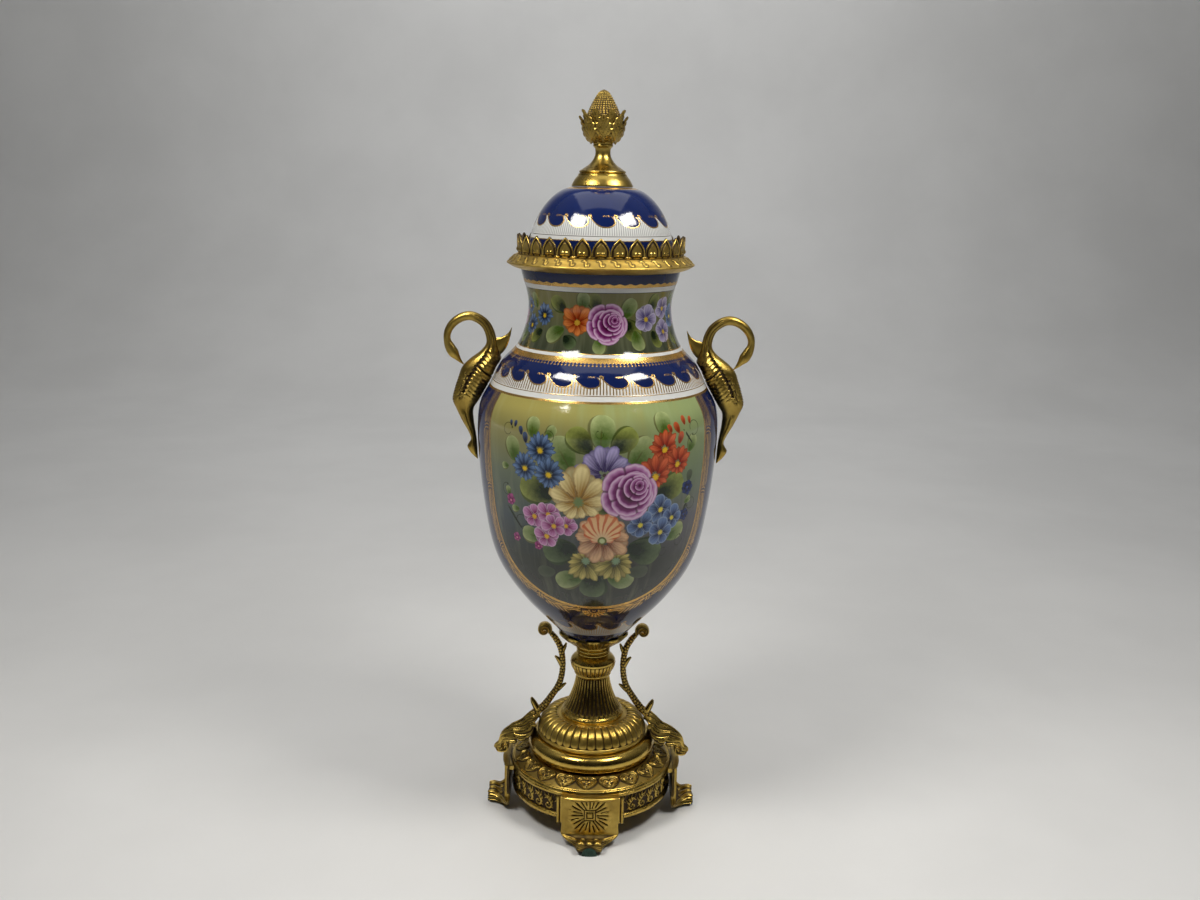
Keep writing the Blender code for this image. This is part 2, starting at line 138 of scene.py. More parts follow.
class Wire:
    """One value in a shader tree, a socket or a number; arithmetic on it adds Math nodes."""
    __add__ = __radd__ = math_node("ADD")
    __mul__ = __rmul__ = math_node("MULTIPLY")
    __sub__, __rsub__ = math_node("SUBTRACT"), reflected("SUBTRACT")
    __truediv__, __rtruediv__ = math_node("DIVIDE"), reflected("DIVIDE")
    __pow__, __abs__ = math_node("POWER"), math_node("ABSOLUTE")
    sin, cos = math_node("SINE"), math_node("COSINE")
    least, most = math_node("MINIMUM"), math_node("MAXIMUM")
    whole, part = math_node("FLOOR"), math_node("FRACT")
    root, sign = math_node("SQRT"), math_node("SIGN")
    angle_to = math_node("ARCTAN2")

    def __init__(self, tree, value):
        self.tree, self.value = tree, value

    def maths(self, operation, *others):
        return self.tree.wire(self.tree.node("Math", {"operation": operation}, dict(enumerate([self, *others]))))

    def hypot(self, other):
        return (self * self + other * other).root()

    def rise(self, low, high):
        """0 up to low, 1 from high on, and a smooth step between; high may be the lower one."""
        settings = {"interpolation_type": "SMOOTHSTEP", "clamp": False}
        return self.tree.wire(self.tree.node("MapRange", settings, {"Value": self, "From Min": low, "From Max": high}))

    def within(self, low, high, soft):
        """1 between low and high, with soft edges."""
        return self.rise(low - soft, low + soft) * self.rise(high + soft, high - soft)


class Tree:
    """A node tree that is written as Python expressions."""

    def __init__(self, tree):
        self.nodes, self.links = tree.nodes, tree.links

    def node(self, kind, settings=None, sockets=None):
        """A node of that type: its settings first, then the values or links of its sockets."""
        made = self.nodes.new("ShaderNode" + kind)
        for key, value in (settings or {}).items():
            setattr(made, key, value)
        for key, value in (sockets or {}).items():
            self.feed(made.inputs[key], value)
        return made

    def feed(self, socket, value):
        if isinstance(value, Wire):
            value = value.value
        if isinstance(value, bpy.types.NodeSocket):
            self.links.new(value, socket)
        elif hasattr(value, "__len__") and len(value) == 3 and socket.type == "RGBA":
            socket.default_value = (*value, 1.0)
        else:
            socket.default_value = value

    def wire(self, node, output=0):
        return Wire(self, node.outputs[output])

    def number(self, value):
        return value if isinstance(value, Wire) else Wire(self, value)

    def mix(self, factor, a, b):
        """Colour a where factor is 0 and b where it is 1."""
        return self.wire(self.node("Mix", {"data_type": "RGBA"}, {0: factor, 6: a, 7: b}), 2)

    def blend(self, factor, a, b):
        """Number a where factor is 0 and b where it is 1."""
        return self.wire(self.node("Mix", {"data_type": "FLOAT"}, {0: factor, 2: a, 3: b}))

    def tint(self, colour, amount):
        """A colour made lighter or darker by a plain number."""
        settings = {"data_type": "RGBA", "blend_type": "MULTIPLY"}
        return self.wire(self.node("Mix", settings, {0: 1.0, 6: colour, 7: (amount,) * 3}), 2)

    def ramp(self, value, *stops, mode="LINEAR"):
        """Colours along a value: stops are (place, colour)."""
        out = self.node("ValToRGB", None, {0: value})
        band = out.color_ramp
        band.interpolation = mode
        while len(band.elements) < len(stops):
            band.elements.new(1.0)
        for element, (place, colour) in zip(band.elements, stops):
            element.position = place
            element.color = (*colour, 1.0)
        return self.wire(out)

    def choose(self, code, values):
        """The value of one kind among several: code is (number + 0.5) / count."""
        if hasattr(values[0], "__len__"):
            return self.ramp(code, *((i / len(values), v) for i, v in enumerate(values)), mode="CONSTANT")
        low, high = min(values), max(values) + 1e-6
        greys = [(i / len(values), ((v - low) / (high - low),) * 3) for i, v in enumerate(values)]
        picked = self.node("SeparateColor", None, {0: self.ramp(code, *greys, mode="CONSTANT")})
        return self.wire(picked) * (high - low) + low

    def place(self):
        """Object coordinates, in metres."""
        return self.wire(self.node("TexCoord"), "Object")

    def noise(self, vector, scale, detail=2.0, rough=0.5):
        return self.wire(self.node("TexNoise", None, {"Vector": vector, "Scale": scale, "Detail": detail,
                                                      "Roughness": rough}))

    def parts(self, vector):
        """The three numbers of a vector."""
        out = self.node("SeparateXYZ", None, {0: vector})
        return [self.wire(out, i) for i in range(3)]

    def vector(self, x, y):
        return self.wire(self.node("CombineXYZ", None, {0: x, 1: y}))

    def field(self, name, output="Fac"):
        """The piece's own attribute of that name."""
        return self.wire(self.node("Attribute", {"attribute_name": name}), output)

    def bump(self, height, depth, strength=1.0):
        return self.wire(self.node("Bump", None, {"Height": height, "Distance": depth, "Strength": strength}))

    def grouped(self, name, build, **given):
        """The colour from build(tree, **given), kept as a node group that is made once."""
        group = bpy.data.node_groups.get(name)
        if group is None:
            group = bpy.data.node_groups.new(name, "ShaderNodeTree")
            for socket, (kind, _) in given.items():
                group.interface.new_socket(socket, in_out="INPUT", socket_type="NodeSocket" + kind)
            group.interface.new_socket("colour", in_out="OUTPUT", socket_type="NodeSocketColor")
            inner = Tree(group)
            entry, leave = group.nodes.new("NodeGroupInput"), group.nodes.new("NodeGroupOutput")
            inner.feed(leave.inputs[0], build(inner, **{s: inner.wire(entry, s) for s in given}))
        made = self.node("Group", {"node_tree": group}, {s: value for s, (_, value) in given.items()})
        return self.wire(made)


class Shader(Tree):
    """A material's tree with a Principled shader at its end."""

    def __init__(self, name, **fixed):
        self.material = bpy.data.materials.new(name)
        self.material.use_nodes = True
        super().__init__(self.material.node_tree)
        self.surface = self.nodes["Principled BSDF"]
        for socket, value in fixed.items():
            self.surface.inputs[socket.replace("_", " ")].default_value = value

    def finish(self, **sockets):
        for name, value in sockets.items():
            self.feed(self.surface.inputs[name.replace("_", " ")], value)
        return self.material


# ---- brass, felt and floor

def brass(name, tone=1.0, rough=0.26, patina=1.0, grain=1.0):
    """Antique gilt brass.

    The piece's relief attribute runs from 0 in the bottom of a recess to 1 on the polished high parts.
    Patina gathers where relief is low; slow clouds and fine pits vary the tone and the polish.
    """
    shade = Shader(name, Metallic=1.0)
    place = shade.place()
    relief = shade.field("relief")
    clouds = shade.noise(place, 38.0, 3.0, 0.6)
    stain = shade.noise(place, 150.0, 4.0, 0.65)
    pits = shade.noise(place, 1300.0, 3.0, 0.6)
    high = relief + (stain - 0.5) * 0.34 + (clouds - 0.5) * 0.22
    worn = (1.0 - high.rise(0.12, 0.80)) * patina
    gold = dimmed(colours().gold, tone)
    warm = shade.mix(clouds.rise(0.35, 0.7), dimmed(gold, 0.74, 0.70, 0.62), gold)
    warm = shade.mix(stain.rise(0.50, 0.75) * 0.40, warm, dimmed(gold, 0.50, 0.42, 0.34))
    tarnished = shade.mix(worn.least(1.0), warm, tuple(colours().patina))
    polish = shade.blend(worn, rough, rough + 0.24) + (clouds - 0.5) * 0.14 + (stain - 0.5) * 0.10
    surface = pits * 0.6 + stain * 0.9
    return shade.finish(Base_Color=tarnished, Roughness=polish, Metallic=shade.blend(worn, 1.0, 0.75),
                        Normal=shade.bump(surface, 0.00022 * grain, 0.55))


def felt_cloth(name):
    """Green felt: matted fibres at two scales and a soft sheen."""
    shade = Shader(name, Roughness=0.95, Sheen_Weight=0.4)
    place = shade.place()
    fibres = shade.noise(place, 900.0, 5.0, 0.7)
    lumps = shade.noise(place, 120.0, 2.0, 0.5)
    green = colours().felt
    cloth = shade.mix(fibres.rise(0.3, 0.7), dimmed(green, 0.45), dimmed(green, 1.5))
    return shade.finish(Base_Color=cloth, Normal=shade.bump(fibres + lumps, 0.0006, 0.8))


def pale_floor(name):
    """Pale matt board with faint clouds."""
    shade = Shader(name, Roughness=0.55)
    place = shade.place()
    clouds = shade.noise(place, 2.2, 4.0, 0.55)
    grain = shade.noise(place, 260.0, 3.0, 0.6)
    pale = tuple(colours().floor)
    board = shade.mix(clouds.rise(0.3, 0.7), dimmed(pale, 0.93), pale)
    return shade.finish(Base_Color=board, Normal=shade.bump(grain, 0.0002, 0.3))


# ---- curves and heights

def smooth(x, low, high):
    """0 up to low, 1 from high on, 3t^2 - 2t^3 between."""
    t = np.clip((x - low) / (high - low), 0.0, 1.0)
    return t * t * (3 - 2 * t)


def lobe(turns):
    """Where a point lies across its own repeat: -0.5 to 0.5."""
    return (turns + 0.5) % 1.0 - 0.5


def beside(a, r, count, shift=0.0):
    """Millimetres from the middle of the nearest of count repeats round a circle."""
    return lobe(a * count / TURN + shift) * TURN * r / count


def ridged(turns):
    """A wave from 0 to 1 that is highest at whole turns."""
    return 0.5 + 0.5 * np.cos(turns * TURN)


def signed(x, power):
    """|x| to a power, with the sign of x."""
    return np.sign(x) * np.abs(x) ** power


def around(columns):
    """Angles in even steps round a circle, as one row."""
    return (np.arange(columns) * TURN / columns)[None, :]


def xyz(x, y, z):
    """Points from three grids or numbers."""
    return np.stack(np.broadcast_arrays(x, y, z), axis=-1)


def dome_of(distance):
    """A half-round section: sqrt(1 - d^2) for d under 1, else 0."""
    return np.sqrt(np.clip(1.0 - distance ** 2, 0.0, 1.0))


def lengths(points):
    """How far along a line each of its points lies."""
    return np.concatenate([[0.0], np.cumsum(np.linalg.norm(np.diff(points, axis=0), axis=1))])


def read_off(points, along, where):
    """The columns of a line at other lengths along it."""
    return np.stack([np.interp(where, along, column) for column in points.T], axis=1)


def tangents(path):
    """Unit tangents of a line in a plane."""
    tangent = np.gradient(path, axis=0)
    return tangent / np.maximum(np.linalg.norm(tangent, axis=1, keepdims=True), 1e-9)


def to_right(direction):
    """Directions turned a quarter to the right."""
    return np.column_stack([direction[:, 1], -direction[:, 0]])


def run(knots, step):
    """Points about a step apart on a centripetal Catmull-Rom curve through the knots."""
    p = np.array(knots, float)
    p = np.vstack([2 * p[0] - p[1], p, 2 * p[-1] - p[-2]])
    u = np.linspace(0.0, 1.0, 24, endpoint=False)[:, None]
    spans = []
    for a, b, c, d in zip(p, p[1:], p[2:], p[3:]):
        k1 = np.linalg.norm(b - a) ** 0.5
        k2 = k1 + np.linalg.norm(c - b) ** 0.5
        k3 = k2 + np.linalg.norm(d - c) ** 0.5
        t = k1 + (k2 - k1) * u
        e, f, g = a + (b - a) * t / k1, b + (c - b) * (t - k1) / (k2 - k1), c + (d - c) * (t - k2) / (k3 - k2)
        h, i = e + (f - e) * t / k2, f + (g - f) * (t - k1) / (k3 - k1)
        spans.append(h + (i - h) * (t - k1) / (k2 - k1))
    return evenly(np.vstack([*spans, p[-2:-1]]), step)


def evenly(points, step):
    """The same line with its points about a step apart."""
    along = lengths(points)
    return read_off(points, along, np.linspace(0.0, along[-1], max(2, int(round(along[-1] / step)) + 1)))


def line(*knots, step=2.0):
    """Straight runs between the knots, with points about a step apart."""
    runs = [evenly(np.array([a, b], float), step) for a, b in zip(knots, knots[1:])]
    return np.vstack([runs[0], *(r[1:] for r in runs[1:])])


def outline(start, *runs):
    """Lines of (radius, height) that follow one another from a start.

    A run is a step and then its knots in pairs: a smooth curve, or straight lines where the step is negative.
    """
    lines = []
    for step, *numbers in runs:
        knots = [start, *zip(numbers[::2], numbers[1::2])]
        lines.append(run(knots, step) if step > 0 else line(*knots, step=-step))
        start = knots[-1]
    return lines


def swept_height(x, y, beads):
    """Height of a round bead carried along a path.

    beads holds rows of (x, y, radius); the height is the greatest sqrt(radius^2 - distance^2) of them.
    """
    top = np.zeros(np.broadcast(x, y).shape)
    for bx, by, radius in beads:
        top = np.maximum(top, np.clip(radius ** 2 - (x - bx) ** 2 - (y - by) ** 2, 0.0, None))
    return np.sqrt(top)


def stroke(knots, radii, step=0.35):
    """Beads along a smooth curve through the knots, their radii running through the given ones."""
    points = run(knots, step)
    radius = np.interp(np.linspace(0.0, 1.0, len(points)), np.linspace(0.0, 1.0, len(radii)), radii)
    return np.column_stack([points, radius])


# ---- meshes

def grid_mesh(name, points, relief=None, wrap_rows=False, wrap_cols=True, fields=None, sharp=48.0):
    """A mesh over a grid of points[row, column] in millimetres, rows running down and columns to the right.

    A first or last row that is all one point becomes a pole, so its faces are triangles.  relief is a number
    a point; fields are triples a face corner, as arrays of [row, column, corner, 3] with the corners in the
    order lower left, lower right, upper right, upper left.
    """
    rows, cols = points.shape[:2]
    r = np.arange(rows if wrap_rows else rows - 1)
    c = np.arange(cols if wrap_cols else cols - 1)
    r, c = (g.ravel() for g in np.meshgrid(r, c, indexing="ij"))
    corner_rows = np.stack([r + 1, r + 1, r, r], axis=1) % rows
    corner_cols = np.stack([c, c + 1, c + 1, c], axis=1) % cols
    index = corner_rows * cols + corner_cols
    if not wrap_rows:
        for row in (0, rows - 1):
            if np.ptp(points[row], axis=0).max() < 1e-6:
                index[corner_rows == row] = row * cols
    top, bottom = index[:, 2] == index[:, 3], index[:, 0] == index[:, 1]
    faces, picks = [], []
    for mask, keep in ((~(top | bottom), [0, 1, 2, 3]), (top & ~bottom, [0, 1, 2]), (bottom & ~top, [0, 2, 3])):
        faces += index[mask][:, keep].tolist()
        picks.append((np.flatnonzero(mask)[:, None] * 4 + np.array(keep)).ravel())
    picks = np.concatenate(picks)
    used, renumbered = np.unique(index.ravel()[picks], return_inverse=True)
    mesh = bpy.data.meshes.new(name)
    ends = np.cumsum([len(face) for face in faces])
    faces = [renumbered[end - len(face):end].tolist() for face, end in zip(faces, ends)]
    mesh.from_pydata((points.reshape(-1, 3)[used] * MM).tolist(), [], faces)
    mesh.shade_smooth()
    mesh.set_sharp_from_angle(angle=math.radians(sharp))
    relief = np.broadcast_to(PLAIN if relief is None else relief, (rows, cols)).reshape(-1)[used]
    mesh.attributes.new("relief", "FLOAT", "POINT").data.foreach_set("value", relief.astype(np.float32))
    for field_name, grid in (fields or {}).items():
        values = grid.reshape(-1, 3)[picks].astype(np.float32)
        mesh.attributes.new(field_name, "FLOAT_VECTOR", "CORNER").data.foreach_set("vector", values.ravel())
    return mesh


def discard(*meshes):
    """Drop meshes that were only steps on the way."""
    for mesh in meshes:
        bpy.data.meshes.remove(mesh)


def join_meshes(name, meshes):
    """One mesh that holds them all."""
    made = bmesh.new()
    for mesh in meshes:
        made.from_mesh(mesh)
    discard(*meshes)
    joined = bpy.data.meshes.new(name)
    made.to_mesh(joined)
    made.free()
    return joined


def turned_copy(mesh, degrees):
    """The same mesh turned round Z."""
    copy = mesh.copy()
    copy.transform(Matrix.Rotation(math.radians(degrees), 4, "Z"))
    return copy


def piece(name, mesh, material, slot, *nodes):
    """A finished piece: it rides on the urn and stands for the named solids."""
    item = bpy.data.objects.new(name, mesh)
    bpy.context.scene.collection.objects.link(item)
    mesh.materials.clear()
    mesh.materials.append(material)
    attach(item, "root")
    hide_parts(*nodes)
    return item


def ring_points(radius, angle, height):
    """Points from a radius, an angle from the front and a height."""
    return xyz(radius * np.sin(angle), -radius * np.cos(angle), height)


def fit(node, parts, radius):
    """Profiles stretched so that their heights and their radius are those of the solid."""
    low, high = node_box(node)
    every = np.vstack(parts)
    bottom, top = every[:, 1].min(), every[:, 1].max()
    across = (high[0] - low[0]) / 2 / radius
    up = (high[2] - low[2]) / (top - bottom)
    return [np.column_stack([p[:, 0] * across, low[2] + (p[:, 1] - bottom) * up]) for p in parts]


def turned(name, node, radius, runs, columns, carving=None, closed=False):
    """Runs of a profile, from the top down the outer side, fitted to a solid and turned round Z with their carving.

    carving gives some runs, by number, a function of (angle, radius, height).  It returns how far the point moves
    along the profile's own normal, and its relief.
    """
    profile, normal, tag = [], [], []
    for number, part in enumerate(fit(node, runs, radius)):
        skip = 1 if profile and np.allclose(profile[-1][-1], part[0], atol=1e-6) else 0
        profile.append(part[skip:])
        normal.append(-to_right(tangents(part))[skip:])
        tag.append(np.full(len(part) - skip, number))
    last = -1 if closed else None
    profile, normal, tag = np.vstack(profile)[:last], np.vstack(normal)[:last], np.concatenate(tag)[:last]
    angle = around(columns)
    height, relief = np.zeros((len(profile), columns)), np.full((len(profile), columns), PLAIN)
    for number, cut in (carving or {}).items():
        rows = tag == number
        height[rows], relief[rows] = cut(angle, profile[rows, :1], profile[rows, 1:])
    height *= sizes().carving
    out = np.maximum(profile[:, :1] + normal[:, :1] * height, 0.0)
    points = ring_points(out, angle, profile[:, 1:] + normal[:, 1:] * height)
    return grid_mesh(name, points, relief, wrap_rows=closed)


def chased(x, y, beads, ground=0.05, foot=1.3):
    """(height, relief) of raised beads on a ground: bright on top, dark at their foot, ground tone beyond."""
    height = swept_height(x, y, beads)
    reach = np.full(height.shape, 1e6)
    for bx, by, radius in beads:
        reach = np.minimum(reach, np.hypot(x - bx, y - by) - radius)
    inside = 0.45 + 0.55 * np.clip(height / max(b[2] for b in beads), 0.0, 1.0)
    return height, np.where(reach < 0, inside, ground * smooth(reach, 0.0, foot))


# ---- porcelain

VASE_OUTLINE = [(81.5, 598), (80.6, 588), (71.8, 553), (83.5, 511), (99, 496.5), (111, 471.5), (121.5, 454),
                (124, 428), (117.3, 350), (104.5, 292), (78.5, 250), (46.5, 215), (33, 199.5), (22, 190)]
VASE_INSIDE = [(0, 198), (27, 202), (73, 253), (99.5, 296), (112.3, 352), (119, 430), (106, 470), (78, 511),
               (66.8, 553), (76.5, 598)]
LID_OUTLINE = [(30.4, 669), (41, 665.4), (55, 653.3), (66, 635.5), (71.6, 617), (72.5, 603.3)]
LID_INSIDE = [(65.6, 593), (67, 617), (61.8, 634.5), (51, 650.5), (37, 661.3), (0, 664.8)]


def softened(points, reach=5):
    """A curve with its small bends averaged out over a few points, its ends left alone."""
    soft = points.copy()
    for _ in range(reach * reach):
        soft[1:-1] = (soft[:-2] + 2 * soft[1:-1] + soft[2:]) / 4
    return soft


def porcelain(name, node, profile, inner, columns, fields=None):
    """A shell turned from its outer and inner profiles; relief is 1 on the outside and 0 inside."""
    rows = np.vstack(fit(node, [profile, inner], profile[:, 0].max()))
    relief = (np.arange(len(rows)) < len(profile)).astype(float)[:, None]
    angle = around(columns)
    points = ring_points(rows[:, :1], angle, rows[:, 1:])
    return grid_mesh(name, points, relief, wrap_rows=True, fields=fields and fields(rows, angle[0]), sharp=50.0)


def vase_mesh():
    """The vase: down the outside, under the foot and up the inside."""
    profile = np.vstack([softened(run(VASE_OUTLINE, 1.9)), line((22, 190), (0, 190), step=6.0)[1:]])
    inner = np.vstack([run(VASE_INSIDE, 4.0), line((76.5, 598), (81.5, 598), step=1.2)[1:-1]])
    return porcelain("vase_shell", "vase", profile, inner, 240, paint_fields)


def lid_mesh():
    """The lid: out over the crown, down the side, and back up inside."""
    outside = np.vstack([line((0, 669.2), (29, 669.2), step=4.0), softened(run(LID_OUTLINE, 1.6), 3),
                         line((72.5, 603.3), (70.6, 602.9), (70.6, 593), (65.6, 593), step=1.8)[1:]])
    return porcelain("lid_shell", "lid_dome", outside, run(LID_INSIDE, 3.5)[1:], 192)


# ---- turned brass

def finial_mesh():
    """Flared foot with a ring, thin neck, and a bud of beaded rows that stands in two rings of leaves.

    A bead is a half round across, 30 to a row, times a half round up its row of 2.1 mm.  A leaf is an oval carried
    up a path that turns out at its tip; its ribs slant away from the middle vein.
    """
    runs = outline((0, 762), (0.36, 2.8, 760.8, 6.6, 756, 11.6, 747.4, 15.4, 738.5, 16.6, 732),
                   (0.6, 16.8, 725, 14.6, 718, 9.7, 710.6, 9.7, 709.6), (0.3, 9.9, 708.6, 8.8, 707.2),
                   (0.6, 7.9, 706, 7.9, 699, 12.8, 691.5, 19, 687, 22.9, 684.6), (0.3, 23.3, 683.6, 22.3, 682.4),
                   (0.3, 24, 681.4, 24.2, 680.3), (0.6, 27.4, 676.4, 30.4, 671), (0.5, 30.4, 669.5), (-3, 0, 669.5))

    def beads(a, r, z):
        bead = dome_of(lobe(a * 30 / TURN) / 0.46) * (0.35 + 0.65 * dome_of(lobe(z / 2.1) / 0.5))
        return (1.2 * bead - 0.3) * smooth(z, 761.4, 758.5), 0.02 + 0.62 * bead

    def leaf_skin(s, q):
        across, slant = np.abs(np.sin(q)), s / 30 * 5.5
        rib = dome_of(lobe(across * 1.6 - slant) * 1.96)
        vein = np.exp(-(across / 0.10) ** 2)
        front = smooth(np.cos(q), -0.2, 0.2)
        tooth = ridged(1.6 - slant) * across ** 6
        height = (1.1 * rib + 0.7 * vein - 0.6) * front + 1.3 * tooth
        return height, -0.1 + 1.1 * np.maximum(rib, vein) * (0.4 + 0.6 * front)

    low_leaf = [(10.5, 711.5, 0.9, 2.5), (14.8, 715.6, 1.2, 6), (18.2, 721.5, 1.3, 7.2), (19.6, 728, 1.2, 6.2),
                (21.2, 733.5, 1, 3.8), (23.4, 737, 0.4, 0.8)]
    high_leaf = [(11.5, 713.5, 0.8, 3), (16.2, 720, 1.1, 6.4), (18, 728.5, 1.1, 6.4), (18.6, 735.5, 1, 4.8),
                 (20.6, 740.5, 0.8, 2.4), (22.6, 742.5, 0.3, 0.6)]
    pair = [carried("leaf", stations, 0.62, 30, leaf_skin) for stations in (low_leaf, high_leaf)]
    shells = [turned("bud", "finial", 30.4, runs, 270, {0: beads})]
    shells += [turned_copy(leaf, 45 * k + shift) for k in range(8) for leaf, shift in zip(pair, (0, 22.5))]
    discard(*pair)
    return join_meshes("finial_turned", shells)


def crown_mesh():
    """The gallery: a thin ring of upright pointed leaves.

    Across a leaf t runs -1 to 1 and its top is valley + rise (1 - |t|)^0.46, a pointed arch.  The front has
    a rounded rim along that edge, a groove inside it, a bulging middle and two small lobes at the foot.
    """
    low, high = node_box("leaf_crown")
    bottom, top = low[2], high[2]
    count, per_leaf, pointed = sizes().leaves, 26, 0.46
    outer, front_gap, thick, lean = high[0] - 0.4, 1.2, 1.3, 0.9
    valley, pitch = bottom + 4.0, TURN * outer / count
    turns = np.arange(count * per_leaf)[None, :] / per_leaf
    t = np.abs(lobe(turns)) * 2
    edge = valley + (top - valley) * (1 - t) ** pointed
    v = np.concatenate([np.linspace(1, 0.62, 14), np.linspace(0.62, 0, 16)[1:]])[:, None]
    rise = (edge - bottom) * v
    slope = pointed * (top - valley) * np.maximum(1 - t, 0.03) ** (pointed - 1) / (pitch / 2)
    across = lobe(turns) * pitch
    inward = (edge - bottom - rise) / np.sqrt(1 + slope ** 2)
    inward = np.minimum(inward, np.where(rise > valley - bottom - 1.5, np.abs(pitch / 2 - np.abs(across)) + 0.25, 99))
    rim, belly = dome_of((inward - 0.85) / 0.85), smooth(inward, 1.9, 4.6)
    foot = swept_height(np.abs(across), rise, [(2.1, 4.3, 1.9), (2.9, 3.2, 1.4)])
    beads = dome_of(lobe(turns * 2) * 2 / 0.92) * dome_of((rise - 1.0) / 1.0)
    vein = np.exp(-(across / 0.5) ** 2) * smooth(rise, 6.0, 9.0)
    height = (np.maximum(0.95 * rim, 1.35 * belly - 0.35 * vein) + 0.55 * foot) * smooth(rise, 1.6, 3.2)
    relief = np.maximum(rim, 0.58 * belly + 0.25 * np.clip(foot / 1.9, 0, 1)) * smooth(rise, 1.6, 3.0)
    height, relief = (np.maximum(value, 0.9 * beads) for value in (height, relief))
    angle, back_v = turns * TURN / count, np.linspace(0, 1, 7)[:, None]
    front = ring_points(outer - front_gap + height * sizes().carving + lean * v ** 2, angle, bottom + rise)
    back = ring_points(outer - front_gap - thick + lean * back_v ** 2, angle, bottom + (edge - bottom) * back_v)
    relief = np.vstack([relief, np.full(back.shape[:2], 0.35)])
    return grid_mesh("leaf_crown_ring", np.vstack([front, back]), relief, wrap_rows=True, sharp=60.0)


def collar_mesh():
    """The collar: a thin flared ring over the rim, with a row of hooked marks on its slope."""
    runs = outline((71.2, 603), (-1.5, 84.4, 603), (0.3, 84.9, 602.9, 85.2, 602.9),
                   (0.42, 87.4, 601.2, 90.4, 598.2, 93.4, 596), (0.35, 94.3, 595.2, 94.3, 594.2, 93.2, 593.4),
                   (1, 88, 590.6, 82, 588.6), (-2, 82, 598.3, 71.2, 598.3, 71.2, 603))
    hook = stroke([(-3, -2.6), (-1.6, -3.2), (-0.2, -2), (0.1, 0.4), (0.9, 2.6), (2.4, 2.7), (3, 1.3)],
                  [0.5, 0.75, 0.8, 0.8, 1, 0.9, 0.6])

    def marks(a, r, z):
        down_slope = (599.4 - z) * 1.42
        height, relief = chased(beside(a, r, sizes().marks), down_slope, hook, ground=0.62, foot=2.4)
        return 0.75 * height, relief

    return turned("collar_ring", "mouth_flange", 94.3, runs, 960, {2: marks}, closed=True)


def calyx_mesh():
    """Three stacked rings and the cup of ten leaves that holds the vase's foot."""
    leaves = 10
    rings = [(0.35, 17.5, z + 3.3, 18.2, z + 1.95, 17.5, z + 0.6, 16.7, z) for z in (183.1, 179.2, 175.3)]
    runs = outline((0, 189.7), (-4, 23.6, 189.7), (1, 30, 195, 36.6, 200.8), (0.3, 37.4, 200.9, 37.4, 200),
                   (0.5, 34, 196.6, 27, 191, 21, 188.3, 16.7, 187), *rings, (-4, 0, 175.3))

    def scallop(a, z):
        return 1.3 * (np.cos(a * leaves) - 0.2) * smooth(z, 194.0, 200.5)

    def leaf(a, r, z):
        t = lobe(a * leaves / TURN) * 2
        body = dome_of(t)
        ribs = ridged(np.abs(t) * 2.5) * body
        return (0.8 * body + 0.4 * ribs) * smooth(z, 187.5, 190.0), 0.1 + 0.5 * body + 0.4 * ribs

    carving = {1: lambda a, r, z: (-scallop(a, z), 0.7), 2: lambda a, r, z: (scallop(a, z), 0.7), 3: leaf}
    return turned("calyx_cup", "calyx", 37.4, runs, 360, carving)


def knop_mesh():
    """Ring at the top, smooth swelling, and a row of round-ended lobes that lean in underneath."""
    count = sizes().knop_gadroons
    runs = outline((0, 175), (-4, 17.2, 175), (0.5, 21.4, 172.4, 23.9, 168.9, 24, 166.6),
                   (0.4, 23.3, 162.6, 21.4, 158.4, 19.4, 155.4), (0.3, 19.9, 154.6, 19.9, 153.4, 19.2, 152.4),
                   (-3, 18.6, 151.3, 0, 151.3))

    def lobes(a, r, z):
        half = TURN * r / count / 2
        past_end = np.maximum(np.maximum(z - 164.8, 157.0 - z), 0.0)
        body = dome_of(np.hypot(beside(a, r, count) / (half * 0.86), past_end / 1.9))
        return 1.15 * body - 0.7 * smooth(z, 166.6, 165.2) * smooth(z, 155.4, 156.2), 0.02 + 0.98 * body

    return turned("knop_ring", "knop", 24.4, runs, 20 * count, {2: lobes})


def stem_mesh():
    """Trumpet column cut by hollow channels with round lower ends above a plain lip."""
    count = sizes().flutes
    runs = outline((0, 151), (-4, 17.6, 151), (0.7, 19.8, 139, 25, 124, 31.2, 112.4),
                   (0.5, 32, 111.2, 33.4, 110.4, 34, 108.6, 33.9, 106.6, 33, 105.3), (-4, 0, 105.3))

    def channels(a, r, z):
        pitch, across = TURN * r / count, np.abs(beside(a, r, count))
        half = pitch * 0.33
        cut = dome_of(np.hypot(across, np.maximum(114.2 + half - z, 0.0)) / half)
        ridge = dome_of((pitch / 2 - across) / (pitch * 0.24))
        return 0.35 * ridge - 1.5 * cut, np.clip(0.55 + 0.45 * ridge - 1.2 * cut, 0.0, 1.0)

    return turned("stem_flutes", "stem", 34.0, runs, 16 * count, {1: channels})


def dome_mesh():
    """Low dome of pillowed lobes between a sunk top ring and a plain foot."""
    count = sizes().gadroons
    runs = outline((0, 105), (-4, 34, 105), (0.5, 36.2, 104.4, 38.2, 105.2),
                   (0.6, 46.5, 104.6, 53, 100.6, 57, 94.6, 58.4, 89.2), (0.4, 59.4, 88.2, 59.2, 85.8, 58.2, 84.3),
                   (-5, 0, 84.3))

    def lobes(a, r, z):
        across, half = np.abs(beside(a, r, count)), TURN * r / count / 2 * 0.93
        past_end = np.maximum(92.5 - z, 0.0) / 3.4 + np.maximum(42.6 - r, 0.0) / 4.4
        body = dome_of(np.hypot(across / half, past_end)) ** 0.8
        crease = np.exp(-(across / 0.55) ** 2) * smooth(z, 90.0, 94.0)
        return 1.7 * body - 0.35 * crease * body - 0.6, np.clip(0.12 + 0.85 * body - 0.16 * crease, 0.0, 1.0)

    return turned("dome_gadroons", "base_dome", 60.2, runs, 16 * count, {2: lobes})


